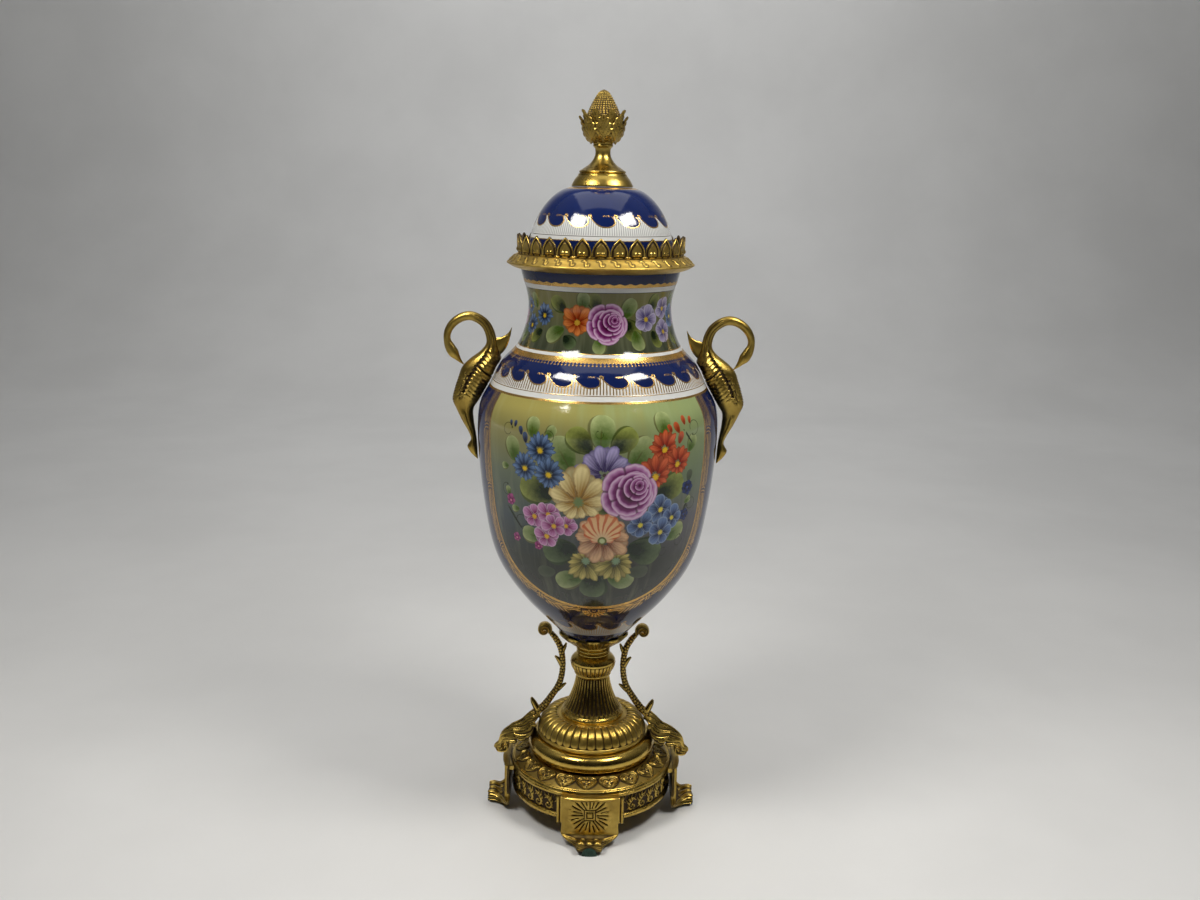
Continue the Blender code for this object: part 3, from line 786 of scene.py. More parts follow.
def torus_mesh():
    """Polished half-round ring: a circle of 10.4 mm about (58.6, 73.6), from its top round to its foot."""
    turn = np.radians(np.linspace(90.0, -70.0, 43))
    bulge = np.stack([58.6 + 10.4 * np.cos(turn), 73.6 + 10.4 * np.sin(turn)], axis=1)
    runs = [*outline((38, 63.8), (-3, 38, 84), (-3, 58.6, 84)), bulge, line((62.16, 63.83), (38, 63.8), step=4)]
    return turned("torus_ring", "base_torus", 69.0, runs, 192, closed=True)


def heart_beads():
    """Two mirrored scrolls, a bud and a drop inside a heart; x across, y towards its lobes."""
    scroll = stroke([(0.3, -4.2), (1.6, -2.2), (3.6, 0.2), (4.1, 2.4), (2.9, 3.9), (1.5, 3.1), (1.7, 1.8), (2.6, 1.9)],
                    [0.45, 0.7, 0.8, 0.7, 0.6, 0.5, 0.55, 0.6], 0.45)
    return np.vstack([scroll, scroll * [-1, 1, 1], [(0, 0.4, 0.85), (0, -1.5, 0.7), (0, 2.2, 0.55)]])


def frieze_beads():
    """One curled leaf of the frieze: a stem that closes in a ring, four lobes and a small sprig."""
    strokes = [([(-5.4, 8.6), (-3, 5.6), (0.4, 3), (3.4, -0.4), (4.2, -4.2), (1.8, -7.6), (-1.6, -7.2), (-2.6, -4.4),
                 (-0.6, -2.8), (1, -4.2)], [0.5, 0.9, 1.15, 1.2, 1.15, 1, 0.95, 0.85, 0.8, 0.9]),
               ([(0, 3.2), (0.8, 6), (0.2, 8.8)], [1.1, 1.2, 0.5]),
               ([(1.8, 1.6), (3.8, 4.4), (4.4, 7.6)], [1.1, 1.2, 0.5]),
               ([(3.6, -1.2), (5.8, 1.4), (6.8, 4)], [0.9, 0.9, 0.4]),
               ([(-2, 4.9), (-3.2, 2.6), (-5.2, 1.4)], [0.8, 0.85, 0.4]),
               ([(3.9, -5.6), (6, -7.2)], [0.7, 0.4])]
    return np.vstack([stroke(knots, radii, 0.5) for knots, radii in strokes])


def drum_mesh():
    """The base drum: sloping border of hearts, stepped rim, and a sunk frieze of curled leaves.

    A heart is where f = hypot(X, Y - 0.6 sqrt|X|) is under 1, and its two rims follow that number.
    """
    hearts, motifs = sizes().hearts, sizes().scrolls
    runs = outline((58, 63.5), (-2, 65.4, 63.4), (0.55, 70, 62.6, 77, 60.2, 83.6, 57.2), (0.3, 84.6, 56.6, 85, 56.9),
                   (0.5, 86.6, 56.7, 87.5, 55.5, 87.9, 54), (0.25, 87.2, 53.3, 87.9, 52.6),
                   (0.5, 88, 51, 87.4, 49.8, 86.2, 49.2), (0.3, 85.9, 48.6, 84.6, 48.3), (-0.55, 84.6, 28.4),
                   (0.5, 86.2, 28, 87.2, 27, 87.3, 25.2, 87, 24), (-8, 82, 24, 82, 52, 58, 63.5))
    ornament, leaf = heart_beads(), frieze_beads()

    def border(a, r, z):
        x, y, half_width = beside(a, r, hearts, 0.17), 77.7 - r, 10.4
        f = np.hypot(x / half_width, y / 6.63 - 0.60 * np.sqrt(np.abs(x) / half_width) + 0.02)
        rims = np.maximum(dome_of((f - 0.93) / 0.10), 0.8 * dome_of((f - 0.71) / 0.08))
        fill, fill_relief = chased(x * 0.76, y * 0.95 - 0.4, ornament, ground=0.04, foot=1.0)
        inside = smooth(f, 0.63, 0.58)
        height = 0.7 * smooth(f, 1.05, 0.98) + 1.25 * rims * (f > 0.5) + 0.9 * fill * inside
        heart_relief = 0.12 + 0.88 * np.maximum(rims, fill_relief * inside)
        return height, np.where(f < 1.04, heart_relief, 0.10 + 0.42 * smooth(f, 1.04, 1.35))

    def frieze(a, r, z):
        facing = np.where(np.sin(a) < 0, 1.0, -1.0)
        height, relief = chased(beside(a, r, motifs, 0.5) * facing, z - 38.4, leaf, ground=0.0, foot=0.6)
        return 1.5 * height - 0.3, relief

    return turned("drum_ring", "base_drum", 88.0, runs, 18 * motifs, {1: border, 7: frieze}, closed=True)


# ---- the bouquet's layout

def paint(code):
    """A colour from two digits each for its everyday red, green and blue, in hundredths."""
    everyday = (int(code[i:i + 2]) / 100 for i in (0, 2, 4))
    return tuple(((c + 0.055) / 1.055) ** 2.4 if c > 0.04 else c / 12.92 for c in everyday)


def paints(codes):
    return [paint(code) for code in codes.split()]


# kind: petals, how far the bloom leans up, middle and half length of a petal, half width, roundness of its tip,
# size of the button, then the colours of a petal's base, tip and edge and of the button
BLOOMS = {
    "blue daisy": (11, 0.14, 0.57, 0.43, 0.40, 1.1, .17, *paints("020618 465876 061228 867216")),
    "orange daisy": (9, 0.34, 0.57, 0.43, 0.42, 1.15, .15, *paints("601304 904426 461003 887214")),
    "lilac daisy": (11, 0.06, 0.57, 0.43, 0.50, 2.0, .06, *paints("201434 726886 322650 302420")),
    "lime daisy": (10, -0.38, 0.58, 0.42, 0.37, 1.25, .17, *paints("424014 908246 282810 506046")),
    "pink blossom": (5, 0.08, 0.54, 0.46, 0.47, 2.2, .20, *paints("500836 845878 948492 856618")),
    "blue blossom": (5, 0.08, 0.54, 0.46, 0.48, 2.2, .18, *paints("081330 425270 667484 868028")),
    "small blue": (5, 0.0, 0.52, 0.46, 0.42, 1.4, .20, *paints("050826 162448 040822 202850")),
    "small pink": (5, 0.2, 0.52, 0.46, 0.44, 1.6, .18, *paints("501036 723458 360828 805060")),
    "yellow bloom": (9, 0.34, 0.55, 0.46, 0.47, 2.0, .15, *paints("665020 999266 604218 425030")),
    "orange bloom": (8, 0.20, 0.56, 0.46, 0.48, 1.7, .16, *paints("622006 925628 461404 786220")),
    "peach bloom": (10, -0.06, 0.62, 0.38, 0.49, 2.0, .10, *paints("462010 947658 563218 505228")),
    "white blossom": (5, 0.10, 0.54, 0.46, 0.50, 2.2, .18, *paints("302648 747084 888692 786622")),
}
# kind: half width, then the colours of base, tip and edge
LEAVES = {
    "pale leaf": (0.76, *paints("284012 768056 302610")),
    "dark leaf": (0.78, *paints("011001 687236 102004")),
    "night leaf": (0.80, *paints("021204 465436 071507")),
    "faint leaf": (0.70, *paints("273123 384133 273024")),
    "blue bud": (0.55, *paints("061024 304058 051024")),
    "orange bud": (0.55, *paints("561404 904224 501404")),
    "stem": (0.10, *paints("101606 142208 081205")),
}
# Layers from the lowest up.  A place is degrees from the middle, height, radius or half length, tilt in degrees.
LAYOUT = {
    "leaf": [
        {"pale leaf": [(1.8, 446, 17, 90), (-15.5, 424, 18, 122), (19.5, 425, 18, 60), (-41, 423, 12.5, 105),
         (-30, 447, 10, 90), (30.5, 452, 12, 96), (47.5, 430, 9, 62), (-13.4, 294, 15, 206), (13.6, 296.5, 15, -28),
         (-32.2, 337.5, 12, 175), (41.5, 341, 13, 20)], "dark leaf": [(-33, 558, 10, 140), (-4, 562, 9, 110),
         (24.5, 536, 12, -50), (45, 561, 9, 60), (-53, 527, 9, 215), (-76, 556, 9, 60), (72, 526, 9, -120)],
         "night leaf": [(85, 555, 9, 70)]},
        {"dark leaf": [(-7.6, 437, 15, 138), (11.6, 438, 15, 42), (-28.5, 385, 19, 166), (35.5, 389, 18, 24),
         (3, 369.5, 10, 200), (46, 526, 9, -60)], "night leaf": [(-17.5, 325, 18, 196), (25, 326, 19, -16),
         (-0.4, 289, 17, -92)], "stem": [(-42, 352, 14, 128), (46.5, 364, 14, 62)],
         "blue bud": [(-39.6, 447.5, 3.4, 80), (-33.6, 436, 5.4, 100)], "orange bud": [(46.6, 452.5, 3.8, 80),
         (38.2, 447, 6, 115)], "pale leaf": [(-13, 563, 9, 80), (22, 556, 11, 62), (29, 525.5, 10, -75),
         (-34.5, 530, 11, 215), (0.6, 521.5, 9, -100), (70, 562, 8, 40), (-72, 525, 9, 240), (-60, 560, 8, 110)]},
        {"faint leaf": [(-26, 300, 10, 195), (23, 303, 11, -5), (47.5, 397, 6, 80)], "pale leaf": [(-21, 444, 7, 55),
         (-46, 404, 5, 190), (48, 372, 5, 30), (-45, 379, 5, 100), (-41, 362, 5, 190)], "stem": [(45, 437, 10, 130)],
         "blue bud": [(-42.3, 447.5, 3, 105), (-36.2, 442, 4.4, 105)], "orange bud": [(42.6, 453, 4.8, 100),
         (40.2, 437, 6.2, 70), (34.2, 447, 4.4, 120)], "night leaf": [(-22, 524, 8, -40)]},
    ],
    "bloom": [
        {"blue daisy": [(-25.8, 425, 18, 0), (-47.5, 546, 13, 0)], "orange daisy": [(31.3, 427, 20.5, 8)],
         "lilac daisy": [(3.4, 405, 29, 4)], "blue blossom": [(31.4, 367, 15.5, 30)],
         "lime daisy": [(-4.6, 316.5, 25, 6)],
         "pink blossom": [(-30, 358, 14, 15), (-14, 352, 12, 0), (84, 545, 12, 0)],
         "small blue": [(46.8, 385, 8.5, 0), (46.8, 357, 7, 0)], "small pink": [(-43.8, 369.5, 7.5, 0),
         (-42.4, 331, 6, 0)], "white blossom": [(38, 545, 15, 0)]},
        {"blue daisy": [(-34, 405.5, 16.5, 12), (-63, 535, 12.5, 15)], "orange daisy": [(38.8, 411, 20, -12)],
         "yellow bloom": [(-8, 377.5, 36, 3)], "lime daisy": [(10.4, 316.5, 25, -8)],
         "blue blossom": [(38.6, 356.5, 14, 5), (21.4, 353, 15, -20)], "small pink": [(-29, 327, 6, 0)],
         "white blossom": [(57, 554, 12.5, -15)], "pink blossom": [(-84, 541, 12, 25)]},
        {"blue daisy": [(-21.8, 402, 18, -10)], "orange daisy": [(27.2, 401, 24, 14)],
         "pink blossom": [(-22.6, 362, 13.5, -10)], "peach bloom": [(3.4, 342, 28, 0)],
         "orange bloom": [(-17, 542, 18, 5)], "blue blossom": [(71, 545, 12.5, 10)]},
        {"pink blossom": [(-24, 339, 14, 20)], "blue blossom": [(32.7, 343, 15.5, 10)],
         "white blossom": [(56, 532, 13, 20)], "blue daisy": [(-70, 553, 10, 0)]},
        {"pink blossom": [(-20, 350.5, 13.5, 40)]},
    ],
    "rose": [
        {"rose": [(15, 387.5, 29, 0), (5.6, 541.5, 20.5, -8)]},
    ],
    "ball": [
        {"ball": [(3.2, 350.5, 20, 0)]},
    ],
    "curl": [
        {"curl": [(-44, 441, 8, 150), (49, 445, 9.5, 20), (-46, 380, 8, 200), (51, 368, 8, -30), (-38, 350, 9, 130),
         (-22, 440, 7, 60), (46, 330, 8, 210), (1.2, 444, 5, 250), (36, 321, 6, 200)]},
    ],
}
PAINT_ORDER = "leaf_0 leaf_1 leaf_2 curl_0 bloom_0 bloom_1 bloom_2 ball_0 bloom_3 bloom_4 rose_0"


def paint_fields(rows, angle):
    """For each layer, where a face corner lies on its flower: (x, y, kind), x and y in flower radii.

    x runs round the vase and y up along its surface, turned by the flower's tilt.  A face away from every
    flower of the layer gets (9, 9, 0).  The front and the back carry the same layout.
    """
    step, along = angle[1], lengths(rows)
    outside = np.flatnonzero(np.diff(rows[:, 1]) > 0)[0]
    order = np.argsort(rows[:outside, 1])
    upper = np.arange(len(rows))
    lower = np.roll(upper, -1)
    corners = np.stack([lower, lower, upper, upper], axis=1)
    s, radius = along[corners][:, None, :], rows[corners, 0][:, None, :]
    fields = {}
    for title, layers in LAYOUT.items():
        known = list({"leaf": LEAVES, "bloom": BLOOMS}.get(title, {}))
        for layer, kinds in enumerate(layers):
            grid = np.full((len(rows), len(angle), 4, 3), 9.0)
            grid[..., 2] = 0.0
            for kind, degrees, height, size, tilt in ((kind, *place) for kind in kinds for place in kinds[kind]):
                s0 = np.interp(height, rows[order, 1], along[order])
                slim = min(3.0, 0.92 / LEAVES[kind][0]) if kind in LEAVES else 1.0
                c, d = math.cos(math.radians(tilt)), math.sin(math.radians(tilt))
                for side in (0.0, np.pi):
                    left = (angle - math.radians(degrees) - side + np.pi) % TURN - np.pi
                    across = np.stack([left, left + step, left + step, left], axis=1)[None, :, :] * radius / size
                    up = (s0 - s) / size
                    x, y = c * across + d * up, c * up - d * across
                    near = (np.hypot(x, y * slim).min(axis=2) < 1.12) & (upper < outside)[:, None]
                    grid[near, :, 0], grid[near, :, 1] = x[near], y[near]
                    grid[near, :, 2] = (known.index(kind) + 0.5) / len(known) if known else 0.0
            fields[f"{title}_{layer}"] = grid
    return fields


# ---- painting on the glaze

def bloom_over(shade, under, spot, grain):
    """Petals in two rows round a button.

    With r and q the polar place and m petals, u is the place across a petal, -0.5 to 0.5.  A petal covers
    (|u| / half width)^round + ((r - middle) / half length)^2 < 1, after r is divided by 1 + lean sin q.
    """
    x, y, kind = shade.parts(spot)
    petals, lean, middle, length, width, power, button, base, tip, edge, eye = (
        shade.choose(kind, values) for values in zip(*BLOOMS.values()))
    x, y = x + (grain - 0.5) * 0.09, y + (grain - 0.5) * 0.09
    r = x.hypot(y)
    q = y.angle_to(x)
    r_in = r * (1.0 + abs(lean)) / (1.0 + lean * y / r.most(0.001))
    turns = q * petals * (1 / TURN)
    streak = (turns * 26.0 + grain * 6.0).sin() * 0.10
    colour = under
    for shift, short, dark in ((0.0, 0.92, 0.60), (0.5, 1.0, 1.0)):
        u = (turns + shift).part() - 0.5
        wobble = ((turns + shift).whole() * 2.4 + kind * 40.0).sin() * 0.07
        reach = (r_in - middle * short) / (length * short + wobble)
        shape = (abs(u) / width) ** power + reach * reach
        side = u * 0.55
        body = shade.mix((r_in.rise(0.12, 1.0) + streak + side).most(0.0).least(1.0), base, tip)
        body = shade.mix(shape.rise(0.55, 1.0) * 0.62, body, edge)
        colour = shade.mix(shape.rise(1.08, 0.92), colour, shade.tint(body, dark))
    dots = (q * 9.0).sin() * 0.4 + 0.45
    heart = shade.mix((r / button).rise(0.50, 0.95) * dots, shade.tint(eye, 1.2), base)
    return shade.mix((r / button).rise(1.10, 0.90), colour, heart)


def leaf_over(shade, under, spot, grain):
    """A leaf along x from -1 to 1, widest past its middle: half width * sqrt(1 - x^2) * (1 + 0.24 x).

    It is dark at its stalk and pale at its round tip, with a fine outline and a vein over the first half.
    """
    x, y, kind = shade.parts(spot)
    width, base, tip, edge = (shade.choose(kind, values) for values in zip(*LEAVES.values()))
    y = y + (grain - 0.5) * 0.06
    half = width * ((1.0 - x * x).most(0.0) ** 0.5) * (1.0 + 0.24 * x)
    shape = abs(y) / half.most(0.001)
    light = x.rise(-0.6, 0.95) * 0.62 + shape * shape * 0.36 + (grain - 0.5) * 0.4 + y * 0.15 - 0.06
    body = shade.mix(light.least(1.0).most(0.0), base, tip)
    body = shade.mix(abs(y + x * 0.05).rise(0.06, 0.02) * x.rise(0.35, -0.1) * 0.55, body, edge)
    body = shade.mix((shape + y * 0.2).rise(0.86, 0.97) * 0.75, body, edge)
    return shade.mix(shape.rise(1.05, 0.95) * abs(x).rise(1.0, 0.97) * 0.94, under, body)


# ring of the rose: its middle, radius, half its petals, turn, and how far out the fold reaches
ROSE_RINGS = ((0, 0, 1.0, 2.5, 0.15, 0.62), (0.07, -0.06, 0.80, 2.0, 0.9, 0.64), (0.16, 0.06, 0.64, 1.5, 0.3, 0.66),
              (0.25, 0.14, 0.46, 1.5, 1.7, 0.60), (0.32, 0.19, 0.31, 1.0, 0.5, 0.50),
              (0.34, 0.22, 0.17, 1.0, 1.7, 0.30))


def rose_over(shade, under, spot, grain):
    """Six rings of petals, each smaller and further towards the eye than the one under it.

    A ring of radius R has its lip at R (0.87 + 0.13 |cos(m q / 2)|^0.6); it is pale there and deep purple
    further in, and darker still where two of its petals meet.
    """
    x, y, _ = shade.parts(spot)
    x, y = x + (grain - 0.5) * 0.03, y + (grain - 0.5) * 0.03
    deep, mid, pale, lip = paints("270520 501844 765072 928090")
    colour = under
    for cx, cy, size, half_petals, shift, fold in ROSE_RINGS:
        dx, dy = x - cx, y - cy
        turn = dy.angle_to(dx) * half_petals + shift
        meet = abs(turn.cos())
        s = dx.hypot(dy) / ((meet ** 0.6) * (0.13 * size) + 0.87 * size)
        body = shade.ramp(s + (turn * 8.0).sin() * 0.012, (fold - 0.1, deep), (fold + 0.14, mid), (0.86, pale),
                          (0.95, lip), (1.0, pale))
        body = shade.mix(meet.rise(0.22, 0.02) * s.rise(0.35, 0.9) * 0.8, body, deep)
        colour = shade.mix(s.rise(1.02, 0.98), colour, body)
    return colour


def ball_over(shade, under, spot, grain):
    """The incurved heart of the peach flower: strands that fan up from a button near its foot."""
    x, y, _ = shade.parts(spot)
    x = x + (grain - 0.5) * 0.08
    r = x.hypot(y * 1.22)
    dy = y + 0.62
    q = x.angle_to(dy)
    far = x.hypot(dy)
    edge = 0.94 + 0.05 * (y.angle_to(x) * 11.0).sin()
    cover = (r / edge).rise(1.04, 0.96)
    strand = (q * 19.0 + (far * 3.6).sin() * 1.1).sin() * 0.5 + 0.5
    cream, red, amber, foot, eye_rim, eye = paints("978058 823012 905530 937860 424418 808462")
    body = shade.mix(strand.rise(0.45, 0.9) * 0.8, cream, red)
    body = shade.mix(far.rise(0.9, 1.6) * 0.45, body, amber)
    body = shade.mix(far.rise(0.62, 0.22), body, foot)
    body = shade.mix((r / edge).rise(0.86, 1.0) * 0.6, body, red)
    centre = shade.mix(far.rise(0.16, 0.09), eye_rim, eye)
    body = shade.mix(far.rise(0.24, 0.20), body, centre)
    return shade.mix(cover, under, body)


def curl_over(shade, under, spot, grain):
    """A thin tendril: most of a ring, with a bead at its end."""
    x, y, _ = shade.parts(spot)
    q = y.angle_to(x)
    tendril = abs(x.hypot(y) - 0.74 + q * 0.05).rise(0.055, 0.025) * q.rise(-2.2, -2.0)
    bead = (x + 0.44).hypot(y + 0.62).rise(0.16, 0.10)
    return shade.mix(tendril.most(bead) * 0.8, under, paint("162010"))


PAINTERS = {"leaf": leaf_over, "curl": curl_over, "bloom": bloom_over, "ball": ball_over, "rose": rose_over}


def waves(angle, height, count, shift, top, low, foot, hatches):
    """A row of breaking waves: (ground below the waves, gold lines, fine hatching).

    In each pitch a round bowl of the ground hangs down from top to low.  Between two bowls the bare ground
    rises to a crest that leans to the left, and a hook and four dashes in gold lie beside its tip.
    """
    up = (height - low) * (1 / (top - low))
    turns = angle * (count / TURN) - shift
    lean = up.most(0.0).least(1.3) ** 2.0 * 0.20
    u = (turns + lean).part() - 0.5
    ring = (abs(u) * (1 / 0.44)) ** 2.2 + ((1.0 - up) * 1.0).most(0.0) ** 2.0
    ground = ring.rise(1.04, 0.96).most(up.rise(0.98, 1.04))
    edge = abs(ring - 1.0).rise(0.16, 0.06) * up.rise(1.10, 1.0)
    v = (turns + 0.20).part() - 0.5
    hook = abs((v + 0.44).hypot((up - 1.0) * 0.42) - 0.075).rise(0.036, 0.018) * up.rise(0.90, 1.0)
    side = (turns + 0.20).part()
    dash = ((side - up * 0.04) * 17.0).part()
    dashes = abs(dash - 0.5).rise(0.28, 0.14) * side.within(0.56, 0.84, 0.01) * up.within(1.0, 1.16, 0.02)
    hatch = abs((turns * hatches).part() - 0.5).rise(0.26, 0.12) * (1.0 - ground) * height.rise(foot, foot + 0.6)
    return ground, edge.most(hook).most(dashes), hatch


def glaze(name, lid=False):
    """Painted porcelain: cobalt, white and gold bands, and on the vase a flower panel on both faces."""
    shade = Shader(name, Specular_IOR_Level=0.5)
    place = shade.place()
    x, y, z = shade.parts(place)
    height = z * 1000.0
    front = (y * -1000.0).sign()
    angle = (x * front).angle_to(y * front * -1.0)
    outside = shade.field("relief").rise(0.45, 0.55)
    grain = shade.noise(place, 260.0, 3.0, 0.6)
    clouds = shade.noise(place, 24.0, 3.0, 0.6)
    white, gold, blue = tuple(colours().white), tuple(colours().paint_gold), colours().cobalt
    cobalt = shade.mix(clouds, dimmed(blue, 0.7), dimmed(blue, 1.35))
    # painted shade: the cobalt turns darker from 340 mm down to 250 mm, as shade on the lower body
    cobalt = shade.mix(height.rise(340.0, 250.0) * 0.6, cobalt, paint("050612"))
    if lid:
        ground, lines, hatch = waves(x.angle_to(y * -1.0), height, sizes().lid_waves, -0.33, 641.5, 631.8, 624.2, 12)
        below = height.rise(619.4, 619.0)
        colour = shade.mix(ground.most(below), white, cobalt)
        colour = shade.mix(hatch * 0.62, colour, paint("363838"))
        colour = shade.mix(height.within(623.2, 623.9, 0.12) * 0.85, colour, paint("201612"))
        gilt = lines.most(height.within(619.0, 619.8, 0.1)).most(height.within(667.2, 668.4, 0.2))
    else:
        colour, gilt = vase_painting(shade, angle, height, grain, cobalt, white)
    colour = shade.mix(outside, white, colour)
    gilt = gilt * outside * (0.86 + 0.14 * grain.rise(0.35, 0.5))
    colour = shade.mix(gilt, colour, shade.mix(clouds, dimmed(gold, 0.8), gold))
    orange_peel = shade.noise(place, 420.0, 2.0)
    return shade.finish(Base_Color=colour, Metallic=gilt * 0.9,
                        Roughness=shade.blend(gilt, 0.09, 0.27) + (clouds - 0.5) * 0.04,
                        Normal=shade.bump(orange_peel + gilt * 0.6, 0.00012, 0.4))


def painted_ground(shade, angle, height):
    """The soft ground under the flowers: dark below, pale above, greener to the right; then the neck's band. The
    darkness below is partly the ground's own colour and partly painted shade of the lower body.
    """
    rise_up = ((height - 250.0) * (1 / 225.0)).most(0.0)
    stops = (0.0, 0.28, 0.46, 0.66, 0.95)
    left = shade.ramp(rise_up, *zip(stops, paints("161814 212320 303436 444840 666234")))
    right = shade.ramp(rise_up, *zip(stops, paints("161814 242523 383740 465240 606644")))
    strokes = shade.noise(shade.vector(angle * 9.0, height * 0.012), 1.0, 3.0, 0.6)
    panel = shade.mix((angle * (1 / 1.01) * 0.7 + 0.45 + (strokes - 0.5) * 0.8).rise(0.0, 1.0), left, right)
    panel = shade.mix((strokes - 0.5).most(0.0) * 0.5, panel, paint("808262"))
    band = shade.ramp((height - 512.0) * (1 / 60.0), *zip((0.0, 0.35, 0.7, 1.0), paints("252821 363828 464628 565432")))
    band = shade.mix((strokes - 0.45).most(0.0) * 0.8, band, paint("707056"))
    return shade.mix(height.rise(490.0, 492.0), panel, band)


def panel_gold(shade, angle, height, turned_in, far):
    """Gold round the panel: an edge line, slanted feathers, small scrolls, and sprigs along the lower half.

    far is the distance outside the panel's edge and run_of the length along it, both in millimetres.
    """
    run_of = (height - 360.0).most(0.0) - turned_in * 111.0
    under_top = height.rise(471.6, 470.6)
    lower = turned_in.rise(0.35, 0.75)
    edge_line = far.within(0.2, shade.blend(lower, 2.5, 3.6), 0.2).most(far.within(3.4, 4.1, 0.12))
    bend = (run_of * (TURN / 62.0)).sin()
    strand = far * (1 / 3.3) - run_of * 0.075 + bend * 0.5
    thick = 0.27 + 0.12 * (run_of * 0.30 + strand.whole() * 2.1).sin()
    width = shade.blend(lower, 17.0, 10.5)
    feathers = (abs(strand.part() - 0.5) - thick).rise(0.06, -0.06) * far.rise(4.4, 4.9) * (far - width).rise(0.7, -0.3)
    hooked = abs(((run_of * 0.62 + (far - 8.0) * (far - 8.0) * 0.035) * (1 / 2.1)).part() - 0.5)
    hooks = hooked.rise(0.27, 0.15) * far.within(5.0, 15.0, 0.5)
    loops = abs(width - 0.8 + (run_of * (TURN / 21.0)).sin() * 1.8 - far).rise(0.9, 0.45)
    leaflet = ((run_of + (far - width) * 1.1) * (1 / 6.0)).part() - 0.5
    fork = abs(far - width - 3.4)
    tips = (abs(leaflet) * 3.4 + (fork * (1 / 4.6)) ** 2.0).rise(1.05, 0.80) * lower
    tips = tips * (run_of * (TURN / 47.0)).sin().rise(-0.55, -0.2)
    ornament = shade.blend(bend.rise(0.88, 0.96), feathers, hooks).most(loops * lower).most(tips)
    scroll = ornament * under_top * abs(angle).rise(1.40, 1.36)
    fan_x, fan_y = angle * 84.0, (height - 254.5) * 1.35
    fan_q, fan_r = fan_x.angle_to(fan_y * -1.0), fan_x.hypot(fan_y)
    ray = abs((fan_q * (9.0 / 3.4)).part() - 0.5)
    rays = ray.rise(0.38, 0.28) * fan_r.within(6.0, 12.5, 0.5) * abs(fan_q).rise(1.72, 1.60)
    shell = abs(fan_r - 5.0).rise(1.2, 0.7).most(fan_r.rise(2.2, 1.6)) * abs(fan_q).rise(2.1, 1.9)
    gilt = edge_line * under_top * far.rise(0.0, 0.3) + scroll * fan_r.rise(13.5, 14.5) * far.rise(0.0, 0.5)
    return gilt.least(1.0).most(rays).most(shell)


def vase_painting(shade, angle, height, grain, cobalt, white):
    """The vase's bands from the rim down, its flower band and its flower panel: (colour, gilding)."""
    colour = painted_ground(shade, angle, height)
    for layer in PAINT_ORDER.split():
        build = PAINTERS[layer.split("_")[0]]
        colour = shade.grouped(build.__name__, build, under=("Color", colour), grain=("Float", grain),
                               spot=("Vector", shade.field(layer, "Vector")))
    # the panel is darkened by a fifth throughout, and the neck band under the collar darker still as painted shadow of
    # the collar
    colour = shade.mix(height.rise(500.0, 512.0) * 0.26 + 0.20, colour, (0.0, 0.0, 0.0))
    # the panel's outline is a rounded box in (angle, depth below 360)
    low = (360.0 - height).most(0.0) * (1 / 99.0)
    across = abs(angle) * (1 / 1.012)
    far = ((across ** 2.4 + low ** 2.2) ** 0.435 - 1.0) * 122.0
    in_panel = far.rise(0.15, -0.15) * height.rise(472.3, 472.0)
    colour = shade.mix((in_panel + height.within(513.2, 571.2, 0.1)).least(1.0), cobalt, colour)
    gilt = panel_gold(shade, angle, height, low.angle_to(across), far)
    # bands above the panel
    ground, lines, hatch = waves(angle, height, sizes().shoulder_waves, 0.235, 493.5, 484.3, 478.3, 9)
    shoulder = height.rise(477.3, 477.5)
    colour = shade.mix(height.within(472.2, 513.0, 0.1), colour, shade.mix(ground * shoulder, white, cobalt))
    gilt = gilt * height.rise(473.4, 472.9)
    gilt = gilt.most((lines + hatch).least(1.0) * shoulder * height.rise(505.0, 503.0))
    gilt = gilt.most(height.within(470.6, 472.6, 0.15)).most(height.within(477.2, 477.9, 0.1))
    dots_at = abs((angle * (150.0 / TURN)).part() - 0.5)
    scallop = height - 506.0 + 1.3 * (0.5 - dots_at) * 2.0
    gilt = gilt.most(scallop.rise(0.0, 0.2) * height.rise(510.4, 510.1))
    gilt = gilt.most((dots_at * 3.6).hypot((height - 503.6) * 1.1).rise(0.9, 0.6) * 0.9)
    colour = shade.mix(height.within(510.3, 513.1, 0.12), colour, white)
    gilt = gilt.most(height.within(513.0, 513.8, 0.15))
    # bands under the rim
    colour = shade.mix(height.within(571.2, 575.8, 0.1), colour, white)
    colour = shade.mix(height.within(570.7, 571.3, 0.1), colour, paint("201814"))
    colour = shade.mix(height.rise(575.7, 575.9), colour, cobalt)
    rim = (angle * 46.0).sin() * 0.25 + 0.25
    gilt = gilt * height.rise(574.0, 573.0)
    gilt = gilt.most(height.rise(575.8, 576.0) * (height - 579.6 + rim * 2.4).rise(0.3, 0.0))
    # waves at the foot
    ground, lines, hatch = waves(angle, height, 14, 0.3, 232.0, 222.5, 216.0, 9)
    foot = height.rise(243.0, 242.0)
    # painted shade: the white between the waves at the foot is dimmed to 0.42
    colour = shade.mix(foot, colour, shade.mix(ground, dimmed(white, 0.42), cobalt))
    gilt = gilt * height.rise(241.0, 243.0) + (lines + hatch * 0.6).least(1.0) * foot * height.rise(214.8, 215.4) * 0.9
    colour = shade.mix(height.rise(213.2, 212.8), colour, cobalt)
    gilt = gilt.most(height.within(214.6, 215.2, 0.1) * 0.9)
    return colour, gilt


# ---- cast brass: rings carried along a path

def lofted(name, rings, relief):
    """A closed skin over rings[row, column]: the first and last rows are drawn in to a point."""
    ends = [np.broadcast_to(r.mean(axis=0), r.shape) for r in (rings[0], rings[-1])]
    points = np.concatenate([ends[0][None], rings, ends[1][None]])
    relief = np.broadcast_to(relief, rings.shape[:2])
    relief = np.concatenate([relief[:1], relief, relief[-1:]])
    return grid_mesh(name, points, relief)


